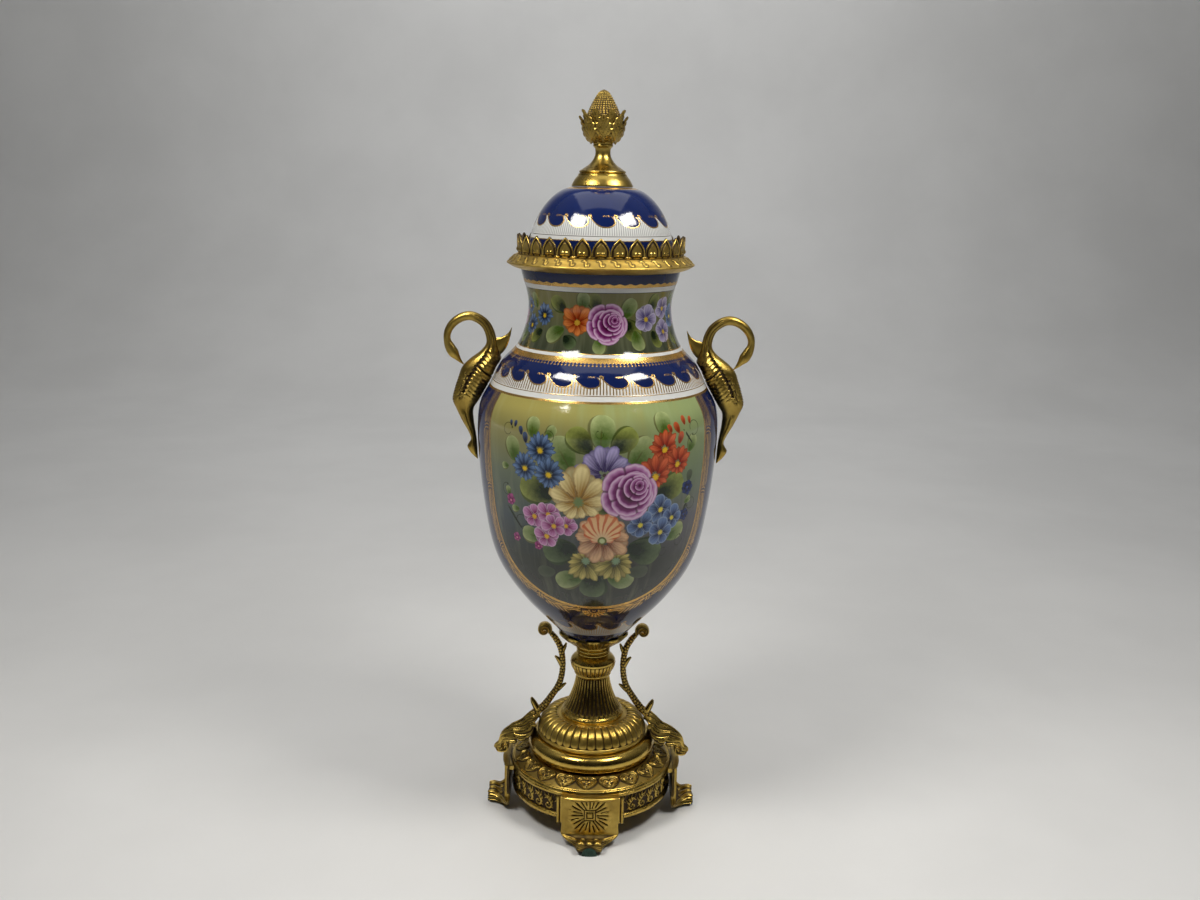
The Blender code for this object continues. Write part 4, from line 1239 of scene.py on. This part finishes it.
def cast(name, meshes, sharp=55.0):
    """One casting from its shells, with every face turned outward."""
    mesh = join_meshes(name, meshes)
    made = bmesh.new()
    made.from_mesh(mesh)
    bmesh.ops.remove_doubles(made, verts=made.verts, dist=0.000002)
    bmesh.ops.recalc_face_normals(made, faces=made.faces)
    made.to_mesh(mesh)
    made.free()
    mesh.shade_smooth()
    mesh.set_sharp_from_angle(angle=math.radians(sharp))
    return mesh


def carried(name, stations, step, columns, cut=None):
    """Ovals carried along a smooth path in the XZ plane.

    A station is (x, z, half width in the plane, half width along Y).  At angle q round the oval the skin
    stands at side * a cos q + Y * b sin q, moved out by cut(s, q) = (height, relief), s being millimetres
    along the path.
    """
    path = run(stations, 0.25)
    along = lengths(path[:, :2])
    s = np.linspace(0.0, along[-1], max(3, int(along[-1] / step)))
    x, z, a, b = read_off(path, along, s).T[..., None]
    side = to_right(tangents(np.hstack([x, z])))
    q = around(columns)
    height, relief = cut(s[:, None], q) if cut else (0.0, PLAIN)
    height = height * sizes().carving
    u, y = np.cos(q) * (a + height), np.sin(q) * (b + height)
    return lofted(name, xyz(x + side[:, :1] * u, y, z + side[:, 1:] * u), relief)


# ---- legs and pads

def rosette(s, up):
    """Rays cut into a level plate round a square boss: 24 lens-shaped grooves with small buds between their ends."""
    far = np.maximum(np.abs(s), np.abs(up))
    angle, reach = np.arctan2(up, s), np.hypot(s, up)
    number = np.round(angle * 24 / TURN) % 24
    start = 6.8 + 3.6 * (number % 3 == 1) + 1.2 * (number % 2)
    end = 21.0 - 1.6 * np.cos(angle * 4) - 2.2 * (number % 3 == 2)
    lens = np.sqrt(np.clip((reach - start) * (end - reach), 0.0, None)) / ((end - start) / 2)
    groove = np.exp(-(beside(angle, reach, 24) / 0.55) ** 2) * np.clip(lens * 1.6, 0, 1)
    swell = dome_of(lobe(angle * 24 / TURN + 0.5) * 2 / 0.95) * smooth(reach, 7.0, 11.0) * smooth(reach, 23.5, 20.0)
    buds = dome_of(np.hypot(beside(angle, reach, 12, 0.5), reach - 21.4) / 1.5)
    boss = np.maximum(dome_of((far - 4.3) / 0.8), 0.9 * smooth(far, 2.7, 1.9))
    moat = 0.7 * dome_of((far - 3.2) / 0.5) + 0.7 * dome_of((far - 5.7) / 0.5)
    height = 0.45 * swell + 0.7 * buds + 0.9 * boss - 1.2 * groove - 0.8 * moat
    relief = np.clip(0.62 + 0.25 * swell + 0.3 * buds + 0.3 * boss - 0.85 * groove - 0.7 * moat, 0.0, 1.0)
    return height, relief


def leg_mesh():
    """The front leg: plaque, fluted side strips, a ledge and a foot that bends out into a ridged scroll.

    A station of the plaque is the place (radius, height) of its face, that of its back, and its half width.
    """
    back, face, top, strip_foot = 88.4, 93.6, 55.0, 24.0
    stations = [(face, top, back, top, 29.5), (face, 46, back, 46, 29.5), (face, 30, back, 30, 29.5),
                (face, 15.5, back, 15.5, 29.5), (93.8, 12.6, 88.6, 11.5, 29.2), (96, 10.4, 89.6, 7, 27),
                (99.4, 10, 94, 3.6, 21), (103, 11.4, 101.5, 3.5, 15.4), (106, 13.2, 106, 3.6, 13.4),
                (109.4, 13.9, 110.2, 3.7, 12.8), (112.4, 13.3, 112.2, 4, 12.2), (113.2, 12.2, 113.2, 4.8, 11.6)]
    rows = run(stations, 0.3)
    where = lengths(rows[:, :2])
    even = np.linspace(0.0, where[-1], int(where[-1] / 0.5))
    rows = read_off(rows, where, even)
    x, z, back_x, back_z, half = rows.T[..., None]
    t = np.linspace(-1.0, 1.0, 119)[None, :]
    s = t * half
    normal = -to_right(tangents(rows[:, :2]))
    face_cut, face_relief = rosette(s, z - 34.2)
    plaque = smooth(z, 11.5, 13.5) * (x < 95)
    scrolls = stroke([(3.4, 9.4), (6, 11.2), (8.6, 9.2), (8, 6.6), (5.6, 6.4), (5.4, 8.4)],
                     [0.9, 1.2, 1.2, 1.1, 1, 1], 0.5)
    sweeps = stroke([(24, 2), (18, 5), (13, 10), (8.6, 13)], [0.7, 1.5, 1.6, 1], 0.5)
    down = even[:, None] - even[np.argmin(np.abs(rows[:, 1] - 12.8))]
    apron_cut, apron_relief = chased(np.abs(s), down, np.vstack([scrolls, sweeps]), ground=0.25, foot=1.6)
    ridge, rim = ridged(1.5 * t), dome_of((np.abs(t) - 0.93) / 0.07)
    toe = smooth(x, 98.0, 103.0)
    low_cut = apron_cut * (1 - toe) * 1.1 + toe * (1.5 * ridge - 0.8) * smooth(x, 113.2, 111.0) + rim * (1 - plaque)
    low_relief = np.maximum(apron_relief * (1 - toe) + toe * (0.2 + 0.8 * ridge), 0.9 * rim)
    height = (plaque * face_cut + (1 - plaque) * low_cut) * smooth(np.abs(t), 1.0, 0.985) * sizes().carving
    relief = plaque * face_relief + (1 - plaque) * low_relief
    front = xyz(x + normal[:, :1] * height, s, z + normal[:, 1:] * height)
    w = np.linspace(0.0, 1.0, 17)[None, 1:-1]
    ribs, low_down = ridged(3 * w), smooth(z, 22.0, 14.0)
    side = half + (1.5 * ribs - 0.9) * low_down * smooth(np.minimum(w, 1 - w), 0.0, 0.08)
    wall = xyz(x * (1 - w) + back_x * w, side, z * (1 - w) + back_z * w)
    side_relief = 0.62 + (ribs - 0.55) * low_down
    rear = xyz(back_x, half * np.linspace(1, -1, 4), back_z)
    rings = np.concatenate([front, wall, rear, wall[:, ::-1] * [1, -1, 1]], axis=1)
    shade = np.concatenate([relief, side_relief, np.full((len(rows), 4), 0.3), side_relief], axis=1)
    shells = [lofted("plaque", rings, shade)]
    q = np.linspace(-1.0, 1.0, 31)[None, :]
    flute = dome_of(lobe(q + 0.5) * 2 / 0.78)
    level = line((0, top - 0.4), (0, strip_foot), step=1.6)[:, 1:]
    out = face - 3.3 + 1.1 * flute * smooth(level, top - 0.4, top - 2.2) * smooth(level, strip_foot, strip_foot + 1.6)
    strip_relief = np.concatenate([0.15 + 0.75 * flute + 0 * level, np.full((len(level), 3), 0.3)], axis=1)
    for side in (-1, 1):
        strip = xyz(out, side * (31.6 + q * 3.6), level)
        closing = xyz(back, side * np.array([35.2, 31.6, 28.0]), level)
        shells.append(lofted("strip", np.concatenate([strip, closing], axis=1), strip_relief))
    radius, level = np.array([(93.4, 54.9), (96.2, 54.7), (97.4, 53.4), (97, 51.8), (95.8, 50.6), (93, 50.2),
                              (89, 50.4), (89, 54.8)]).T
    across = np.linspace(-30.0, 30.0, 21)[:, None]
    shells.append(lofted("ledge", xyz(np.sqrt(radius ** 2 - across ** 2), across, level), 0.85))
    return cast("leg_front_cast", shells)


def felt_mesh():
    """An oval felt pad with a soft upper edge, and a tongue of it that is turned up over the toe's end."""
    turn, up = around(40), np.linspace(0.0, 1.0, 14)[:, None]
    size, level = np.array([(0.90, 3.2), (0.97, 2.9), (1, 2.2), (1, 0.5), (0.98, 0)]).T[..., None]
    pad = xyz(104.4 + 8.8 * size * np.cos(turn), 6.6 * size * np.sin(turn), level)
    half = 8.2 * np.sqrt(1 - 0.96 * up ** 2)
    tongue = xyz(113.3 + 1.5 * dome_of(up * 0.9) * np.cos(turn), half * np.sin(turn), 8.6 * up)
    return cast("felt_front_pad", [lofted("pad", pad, 0.5), lofted("tongue", tongue, 0.5)])


# ---- arms

def bark(s, q):
    """Overlapping pointed scales: rows 3.4 mm long, six round the bar, every second row half a scale on."""
    row = s / 3.4
    across = lobe(q * 6 / TURN + 0.5 * (np.floor(row) % 2)) * 2
    back = row % 1.0
    scale = smooth(np.abs(across), 1.0, 0.55) * smooth(back, 0.0, 0.22) * (1.0 - 0.75 * back)
    return 0.75 * scale - 0.25, 0.1 + 0.9 * scale


def arm_leaf():
    """Acanthus arch: a leaf over (v along, t across) that drops by drop |t|^1.7 to lobed edges.

    Its ribs fan out from the middle vein.  A station is (x, z, half width, drop).
    """
    ridge = run([(57, 106.5, 5, 4), (66.5, 105.4, 10, 9), (77.5, 95.6, 13.5, 13.5), (91, 87.6, 14, 13),
                 (99.2, 79, 12.5, 9.5), (102.6, 69, 9.5, 6), (107, 63.4, 6, 2.5), (105.2, 59.4, 3, 1)], 0.5)
    up = -to_right(tangents(ridge[:, :2]))
    x, z, half, drop = ridge.T[..., None]
    v, t = np.linspace(0.0, 1.0, len(ridge))[:, None], np.linspace(-1.0, 1.0, 61)[None, :]
    edge = np.abs(t)
    lobes = dome_of(lobe(2.9 + v * 4.2 + 0.5) * 1.96)
    phase = lobe(edge * 2.9 + v * 4.2 + 0.5)
    ribs, fine, vein = dome_of(phase * 1.96), np.exp(-(phase / 0.07) ** 2), dome_of(t / 0.09)
    height = (2.6 * ribs - 0.7 * fine) * smooth(edge, 0.10, 0.22) + 2.2 * vein - 1.5
    height = height * smooth(v, 0.0, 0.06) * smooth(v, 1.0, 0.94)
    fall = -drop * (0.84 + 0.30 * lobes) * edge ** 1.7 - lobes * edge ** 6
    over, under = fall + height * sizes().carving, fall - 3.2 + 1.6 * edge
    y = t * half * (0.86 + 0.14 * lobes)
    skins = [xyz(x + up[:, :1] * level, y, z + up[:, 1:] * level)[:, ::order]
             for level, order in ((over, 1), (under, -1))]
    relief = -0.15 + 1.1 * np.maximum((ribs - 0.5 * fine) * smooth(edge, 0.10, 0.2), vein)
    return lofted("leaf", np.concatenate(skins, axis=1), np.concatenate([relief, np.full(relief.shape, 0.2)], axis=1))


def scroll_mesh(cx, cz, start, turns, outer, inner, thick, half):
    """A strip rolled up: its middle line follows radius = outer - (outer - inner) * turn."""
    u = np.linspace(0.0, 1.0, int(turns * 40))[:, None]
    angle = math.radians(start) - turns * TURN * u
    radius = outer + (inner - outer) * u
    path = np.hstack([cx + radius * np.cos(angle), cz + radius * np.sin(angle)])
    right = to_right(tangents(path))
    q = around(16)
    a = thick * (0.62 + 0.38 * (1 - u)) * signed(np.cos(q), 0.7)
    y = half * (0.80 + 0.20 * smooth(u, 0.5, 1.0)) * signed(np.sin(q), 0.6)
    rings = xyz(path[:, :1] + right[:, :1] * a, y, path[:, 1:] + right[:, 1:] * a)
    return lofted("scroll", rings, 0.35 + 0.6 * np.abs(np.cos(q)))


def arm_mesh():
    """The right arm: bark bar with sprigs, a scroll under the vase and an acanthus arch over the torus."""
    bar = [(64, 103, 4.4, 5), (55, 110, 4, 4.4), (45.5, 123, 3.5, 3.9), (36.8, 138, 3.2, 3.6), (33.4, 152, 3.1, 3.4),
           (33.2, 168, 3.1, 3.4), (36, 182, 3.2, 3.8), (41.5, 192, 3, 4.2), (46.8, 198.4, 2.2, 4.8)]
    sprigs = [[(34, 174, 2, 2.2), (31.2, 181, 1.8, 2.2), (29.2, 186.4, 0.7, 1)],
              [(34.2, 160, 2.2, 2.4), (38, 167.6, 2, 2.4), (41.4, 171, 0.8, 1.1)],
              [(38.4, 131, 2.2, 2.4), (32.6, 136.6, 1.9, 2.2), (29, 139.4, 0.7, 1)],
              [(57, 104.5, 3.6, 4.2), (61.5, 110.5, 3.4, 4), (65, 117.6, 2.6, 3), (66.6, 121.6, 1, 1.2)],
              [(92.5, 69, 1.4, 12.5), (93, 63.6, 1.8, 12), (98, 61, 2, 10.5), (103, 60.8, 2, 8.4),
               (106, 63.6, 1.4, 5.4)]]

    def fluted(s, q):
        return 0.25 * np.cos(4 * q), 0.6 + 0.4 * np.cos(4 * q)

    shells = [carried("bar", bar, 0.5, 36, bark), arm_leaf(), scroll_mesh(53.4, 201.6, 205.0, 1.55, 6.6, 1.6, 2.4, 7.0)]
    shells += [carried("sprig", stations, 0.6, 14, fluted) for stations in sprigs]
    shells.append(scroll_mesh(95.2, 67.2, 80.0, 1.3, 4.4, 1.2, 1.5, 12.6))
    return cast("arm_right_cast", shells)


# ---- swans

# the neck from the beak: x, z, half width in the plane and along Y
SWAN_NECK = [(138.6, 489, 0.5, 0.5), (141.6, 491.8, 1.5, 1.4), (145.2, 496, 3.2, 2.8), (148.8, 500.6, 5.3, 4.4),
             (152.4, 506.4, 5.2, 4.2), (155.4, 514.5, 3.7, 3.7), (154.6, 522.5, 3.8, 4), (149.4, 531, 4.2, 4.4),
             (140.6, 537.2, 4.5, 4.7), (131.8, 539, 4.7, 4.8), (123.6, 536.4, 4.6, 4.8), (115.8, 530.2, 4.6, 4.9),
             (111.4, 521, 4.8, 5), (110.2, 512, 5.4, 5.8)]
# level cuts down the body and the leg: inner and outer x, z, half width along Y, and how far the wing stands out
SWAN_BODY = [(102.4, 122, 503, 8, 1.5), (100.8, 131.8, 495.6, 11, 3.5), (105.8, 140, 487, 12.5, 4.5),
             (110.4, 144, 476.5, 12.5, 4.5), (116.6, 147.8, 465, 11.5, 3), (123.2, 150.2, 452.5, 9.5, 0.5),
             (128.6, 146.6, 443.4, 8, 0), (128.6, 140.8, 431, 6.6, 0), (126.6, 133.6, 418, 5.2, 0),
             (125.6, 131.6, 411, 4.4, 0), (125, 135.2, 403.5, 5.8, 0), (124.8, 132.6, 397.6, 4.4, 0),
             (124.5, 125.5, 390, 0.8, 0)]


def swan_rows(count):
    """Lengths from the beak to the toe, and there (x, z, half width in the plane, along Y, wing, heading)."""
    tangent = tangents(np.array(SWAN_NECK)[:, :2])
    turn = np.unwrap(np.arctan2(tangent[:, 1], tangent[:, 0]))
    level = -TURN / 4 + TURN * np.round((turn[-1] + TURN / 4) / TURN)
    rows = [(*station, 0, heading) for station, heading in zip(SWAN_NECK, turn)]
    rows += [((a + b) / 2, z, (b - a) / 2, half, wing, level) for a, b, z, half, wing in SWAN_BODY]
    rows = run(rows, 0.25)
    along = lengths(rows[:, :2])
    s = np.linspace(0.0, along[-1], count)
    return s[:, None], read_off(rows, along, s).T[..., None]


def swan_carving(s, q, x, z, t):
    """(height, relief) of long slanted feathers on the wing, scales beside them, and a keel down the leg.

    t runs across from the vase outward, 0 to 1.  Each kind has a zone that is 1 where it lies.
    """
    on_body = smooth(s, 78.0, 84.0)
    slant = (z - 0.90 * (x - 110)) * 0.743 / 4.2
    feather = dome_of(lobe(slant) / 0.49) ** 0.5
    wing_edge = 0.52 + 0.07 * (1 - 2 * np.abs(lobe(slant))) + 0.06 * smooth(z, 484.0, 478.0)
    long_zone = on_body * smooth(z, 452.0, 460.0) * smooth(z, 508.0, 504.0) * smooth(t, wing_edge + 0.03, wing_edge)
    gap = on_body * smooth(z, 458.0, 464.0) * smooth(z, 510.0, 506.0) * dome_of((t - wing_edge - 0.03) / 0.06)
    fold = dome_of((z - 0.9 * (x - 110) - 478.0) / 1.6) * smooth(t, wing_edge, wing_edge - 0.05)
    gap = np.maximum(gap, on_body * fold)
    scale_zone = on_body * smooth(z, 452.0, 456.0) * smooth(z, 486.0, 480.0)
    scale_zone *= smooth(t, 0.58, 0.64) * smooth(t, 0.88, 0.80)
    row = (z - 0.6 * x) / 7.0
    across = (x + 0.55 * z) / 5.0 + 0.5 * (np.floor(row) % 2)
    scale = smooth(np.abs(lobe(across)) * 2, 1.0, 0.5) * smooth(row % 1.0, 0.0, 0.25) * (1 - 0.6 * (row % 1.0))
    strand_zone = smooth(s, 70.0, 78.0) * (1 - on_body * smooth(z, 503, 497))
    strands = ridged((q * 9 + 0.5 * np.sin(s / 4)) / TURN)
    edge_zone = on_body * smooth(t, 0.90, 0.95) * smooth(z, 446.0, 452.0) * smooth(z, 482.0, 478.0)
    edge = ridged(z / 2.9)
    keel = dome_of((t - 0.62) / 0.16) * smooth(z, 444.0, 438.0) * on_body * smooth(z, 404, 410)
    height = (1.6 * feather + 0.7 * ((slant + 0.5) % 1.0) - 1.1) * long_zone + (1.7 * scale - 0.8) * scale_zone
    height += 0.5 * (strands - 0.4) * strand_zone + 0.6 * (edge - 0.5) * edge_zone + 1.1 * keel - 1.5 * gap
    relief = 0.78
    for zone, value in ((long_zone, 0.98 * feather), (scale_zone, 0.02 + 0.98 * np.minimum(scale * 1.4, 1)), (gap, 0.0),
                        (strand_zone, 0.35 + 0.6 * strands), (edge_zone, 0.3 + 0.65 * edge)):
        relief = relief * (1 - zone) + zone * value
    return height, relief


def swan_mesh():
    """The right swan: ovals along the neck, then level cuts whose inner side carries the wings, an eye and a fin.

    A cut at t across (0 by the vase, 1 outside) is half + wing * exp(-((t - 0.25) / 0.22)^2) wide.
    """
    s, (x, z, wide, half, wing, heading) = swan_rows(330)
    q = around(96)
    c, d = np.cos(q), np.sin(q)
    side_x, side_z = np.sin(heading), -np.cos(heading)
    px, pz = x + side_x * wide * c, z + side_z * wide * c
    t = np.clip((px - x + wide) / np.maximum(2 * wide, 1e-6), 0, 1)
    bulge = wing * np.exp(-((t - 0.25) / 0.22) ** 2)
    width = half * np.abs(d) ** (1 - 0.25 * smooth(s, 78.0, 90.0)) + bulge * np.abs(d) ** 0.5
    height, relief = swan_carving(s, q, px, pz, t)
    height = height * sizes().carving
    rings = xyz(px + side_x * c * height * 0.7, np.sign(d) * width + d * height, pz + side_z * c * height * 0.7)
    eye = carried("eye", [(146.6, 500.6, 0.3, 4.4), (147.2, 500.9, 0.75, 4.75), (147.8, 501.2, 0.3, 4.4)], 0.2, 12)
    return cast("swan_right_cast", [lofted("swan", rings, relief), eye, fin_mesh()])


def fin_mesh():
    """The thin curved fin behind the neck, thickest along its middle and where it leaves the neck."""
    count = 34
    upper = run([(110.5, 516.5), (105, 516.8), (98.5, 518.6), (93.4, 522), (88.8, 529)], 0.9)
    lower = run([(109.5, 496), (103, 498.4), (97, 504), (92.4, 513), (88.8, 529)], 0.9)
    upper, lower = (read_off(p, np.linspace(0, 1, len(p)), np.linspace(0, 1, count))[:-1, None] for p in (upper, lower))
    w = np.linspace(0.0, 1.0, 13)[None, :]
    middle = upper * (1 - w[..., None]) + lower * w[..., None]
    thick = (0.7 + 1.9 * dome_of((w - 0.5) / 0.5)) * np.linspace(1.0, 0.45, count - 1)[:, None]
    skins = [xyz(middle[..., 0], thick * side, middle[..., 1])[:, ::side] for side in (1, -1)]
    return lofted("fin", np.concatenate(skins, axis=1), 0.85)


# ---- stage, light and camera

def soft_light(name, place, aim, width, height, power, tone=(1.0, 1.0, 1.0)):
    """A rectangular lamp that faces a point."""
    lamp = bpy.data.lights.new(name, "AREA")
    lamp.shape, lamp.size, lamp.size_y = "RECTANGLE", width, height
    lamp.energy, lamp.color = power, tone
    item = bpy.data.objects.new(name, lamp)
    item.location = place
    item.rotation_euler = (Vector(aim) - Vector(place)).to_track_quat("-Z", "Y").to_euler()
    bpy.context.scene.collection.objects.link(item)
    return item


def studio_world():
    """A pale room behind and above, dim low down and towards the camera.

    The level is a ramp over the direction's height times a smooth step over its depth.
    """
    world = bpy.data.worlds.new("studio")
    bpy.context.scene.world = world
    world.use_nodes = True
    room = Tree(world.node_tree)
    _, depth, up = room.parts(room.wire(room.node("TexCoord")))
    levels = ((0.0, 0.04), (0.5, 0.06), (0.66, 0.16), (1.0, 0.45))
    band = room.ramp(up * 0.5 + 0.5, *((place, (level,) * 3) for place, level in levels))
    shade = room.mix(depth.rise(-0.8, 0.6) * 0.9 + 0.1, (0.0, 0.0, 0.0), band)
    seen = room.wire(room.node("LightPath"), "Is Camera Ray")
    background = room.nodes["Background"]
    room.feed(background.inputs["Color"], room.mix(seen, shade, (0.62, 0.62, 0.61)))
    background.inputs["Strength"].default_value = 0.62


def camera_at_view():
    """The camera looks down on the urn from a little above its shoulder."""
    data = bpy.data.cameras.new("view")
    data.lens, data.sensor_width = 34.5, 36.0
    data.clip_start, data.clip_end = 0.01, 60.0
    item = bpy.data.objects.new("view", data)
    bpy.context.scene.collection.objects.link(item)
    pitch, heading, roll = (math.radians(v) for v in (12.827, 0.148, 1.157))
    level = Vector((math.cos(heading), -math.sin(heading), 0.0))
    ahead = Vector((math.sin(heading) * math.cos(pitch), math.cos(heading) * math.cos(pitch), -math.sin(pitch)))
    upright = level.cross(ahead)
    right = math.cos(roll) * level + math.sin(roll) * upright
    above = math.cos(roll) * upright - math.sin(roll) * level
    turn = Matrix((right, above, -ahead)).transposed().to_4x4()
    item.matrix_world = Matrix.Translation((0.0, -1.1709, 0.66811)) @ turn
    bpy.context.scene.camera = item


def backdrop_mesh(width):
    """Floor that curves up into a wall: a quarter round of radius bend, well behind the urn."""
    depth, back, bend = width / 2, 2.2, 1.2
    turn = np.linspace(0.0, np.pi / 2, 25)
    y = np.concatenate([[-depth], back + bend * np.sin(turn), [back + bend]])
    z = np.concatenate([[0.0], bend - bend * np.cos(turn), [5.0]])
    points = xyz(np.array([-width / 2, width / 2]), y[:, None], z[:, None])[::-1] / MM
    return grid_mesh("floor_sheet", points, wrap_cols=False)


# ---- operators

class UrnOperator(bpy.types.Operator):
    """What every step of the build shares."""
    bl_options = {"REGISTER", "UNDO"}


class URN_OT_vase(UrnOperator):
    """The painted porcelain vase"""
    bl_idname = "urn.vase"
    bl_label = "Vase"

    def execute(self, context):
        piece("vase_shell", vase_mesh(), glaze("vase_painting"), "porcelain_vase", "vase")
        return {"FINISHED"}


class URN_OT_lid(UrnOperator):
    """The porcelain lid with its waves"""
    bl_idname = "urn.lid"
    bl_label = "Lid"

    def execute(self, context):
        piece("lid_shell", lid_mesh(), glaze("lid_painting", lid=True), "porcelain_lid", "lid_dome")
        return {"FINISHED"}


class URN_OT_finial(UrnOperator):
    """The finial on the lid"""
    bl_idname = "urn.finial"
    bl_label = "Finial"

    def execute(self, context):
        piece("finial_turned", finial_mesh(), brass("finial_gilding", 0.84, 0.28, 1.2), "gilt_brass", "finial")
        return {"FINISHED"}


class URN_OT_gallery(UrnOperator):
    """The collar on the rim and the ring of leaves on it"""
    bl_idname = "urn.gallery"
    bl_label = "Collar and leaves"

    def execute(self, context):
        piece("collar_ring", collar_mesh(), brass("collar_gilding", 1.12, 0.40, 0.8), "satin_brass", "mouth_flange")
        piece("leaf_crown_ring", crown_mesh(), brass("leaf_gilding", 1.05, 0.27, 1.4), "gilt_brass", "leaf_crown")
        return {"FINISHED"}


class URN_OT_foot(UrnOperator):
    """The turned foot: calyx, knop, fluted stem, lobed dome and torus"""
    bl_idname = "urn.foot"
    bl_label = "Turned foot"

    def execute(self, context):
        gilding = brass("foot_gilding", 1.0, 0.26)
        piece("calyx_cup", calyx_mesh(), gilding, "gilt_brass", "calyx")
        piece("knop_ring", knop_mesh(), gilding, "gilt_brass", "knop")
        piece("stem_flutes", stem_mesh(), gilding, "gilt_brass", "stem")
        piece("dome_gadroons", dome_mesh(), brass("dome_gilding", 1.0, 0.34), "gilt_brass", "base_dome")
        piece("torus_ring", torus_mesh(), brass("torus_polish", 1.15, 0.19, 0.5, 0.6), "gilt_brass", "base_torus")
        return {"FINISHED"}


class URN_OT_drum(UrnOperator):
    """The base drum with its hearts and frieze"""
    bl_idname = "urn.drum"
    bl_label = "Drum"

    def execute(self, context):
        piece("drum_ring", drum_mesh(), brass("drum_gilding", 0.9, 0.28), "gilt_brass", "base_drum")
        return {"FINISHED"}


def on_sides(sides, *kinds):
    """The same pieces on several sides of the urn; a kind is (name, ending, mesh, material, slot)."""
    for side, degrees in sides.items():
        for name, ending, mesh, material, slot in kinds:
            piece(f"{name}_{side}_{ending}", turned_copy(mesh, degrees), material, slot, f"{name}_{side}")
    discard(*(kind[2] for kind in kinds))


class URN_OT_legs(UrnOperator):
    """Four legs and the felt pads under them"""
    bl_idname = "urn.legs"
    bl_label = "Legs and pads"

    def execute(self, context):
        finish, cloth = brass("leg_gilding", 0.88, 0.30), felt_cloth("pad_felt")
        on_sides({"right": 0, "back": 90, "left": 180, "front": 270},
                 ("leg", "cast", leg_mesh(), finish, "gilt_brass"), ("felt", "pad", felt_mesh(), cloth, "green_felt"))
        return {"FINISHED"}


class URN_OT_arms(UrnOperator):
    """Two scroll arms beside the foot"""
    bl_idname = "urn.arms"
    bl_label = "Scroll arms"

    def execute(self, context):
        finish = brass("arm_gilding", 1.15, 0.27, 1.5)
        on_sides({"right": 0, "left": 180}, ("arm", "cast", arm_mesh(), finish, "gilt_brass"))
        return {"FINISHED"}


class URN_OT_swans(UrnOperator):
    """Two swan handles at the shoulder"""
    bl_idname = "urn.swans"
    bl_label = "Swan handles"

    def execute(self, context):
        finish = brass("swan_bronze", 0.80, 0.32, 1.1, 1.5)
        on_sides({"right": 0, "left": 180}, ("swan", "cast", swan_mesh(), finish, "antique_brass"))
        return {"FINISHED"}


class URN_OT_stage(UrnOperator):
    """Camera, pale floor and soft studio light"""
    bl_idname = "urn.stage"
    bl_label = "Stage"

    def execute(self, context):
        camera_at_view()
        sheet = bpy.data.objects.new("floor_sheet", backdrop_mesh(sizes().floor))
        context.scene.collection.objects.link(sheet)
        sheet.data.materials.append(pale_floor("floor_board"))
        studio_world()
        for name, x, y in (("left", -0.46, -0.42), ("right", 0.50, -0.34)):
            soft_light(name + "_lamp", (x, y, 1.22), (0.0, 0.0, 0.3), 0.34, 0.24, 6.8, (1.0, 0.97, 0.92))
        soft_light("ceiling_lamp", (0.0, 0.3, 2.6), (0.0, 0.3, 0.0), 2.0, 2.0, 14.0)
        soft_light("wall_lamp", (0.0, 1.7, 2.6), (0.0, 3.4, 1.2), 2.5, 0.6, 26.0)
        for name, x, y, width, depth in (("front", 0.0, -4.2, 9.0, 3.4), ("left", -4.4, 0.2, 2.6, 4.6),
                                         ("right", 4.4, 0.2, 2.6, 4.6)):
            power = 2.4 * width * depth
            lamp = soft_light(name + "_floor_lamp", (x, y, 2.6), (x, y, 0.0), width, depth, power)
            lamp.data.spread = math.radians(70)
            lamp.visible_glossy = False
        context.scene.view_settings.view_transform = "Standard"
        return {"FINISHED"}


PIECES = (URN_OT_stage, URN_OT_vase, URN_OT_lid, URN_OT_finial, URN_OT_gallery, URN_OT_foot, URN_OT_drum,
          URN_OT_legs, URN_OT_arms, URN_OT_swans)


class URN_PT_panel(bpy.types.Panel):
    """Sizes, colours and the steps of the build"""
    bl_idname = "URN_PT_panel"
    bl_label = "Mantel urn"
    bl_space_type = "VIEW_3D"
    bl_region_type = "UI"
    bl_category = "Urn"

    def draw(self, context):
        column = self.layout.column()
        for group in (context.scene.urn_sizes, context.scene.urn_colours):
            for name in group.bl_rna.properties.keys():
                if name not in ("rna_type", "name"):
                    column.prop(group, name)
        for step in PIECES:
            column.operator(step.bl_idname)


CLASSES = (UrnSizes, UrnColours, *PIECES, URN_PT_panel)


def register():
    for item in CLASSES:
        bpy.utils.register_class(item)
    bpy.types.Scene.urn_sizes = PointerProperty(type=UrnSizes)
    bpy.types.Scene.urn_colours = PointerProperty(type=UrnColours)


def unregister():
    del bpy.types.Scene.urn_colours
    del bpy.types.Scene.urn_sizes
    for item in reversed(CLASSES):
        bpy.utils.unregister_class(item)


def main():
    """Build every piece."""
    register()
    for step in PIECES:
        group, name = step.bl_idname.split(".")
        getattr(getattr(bpy.ops, group), name)()


if __name__ == "__main__":
    main()
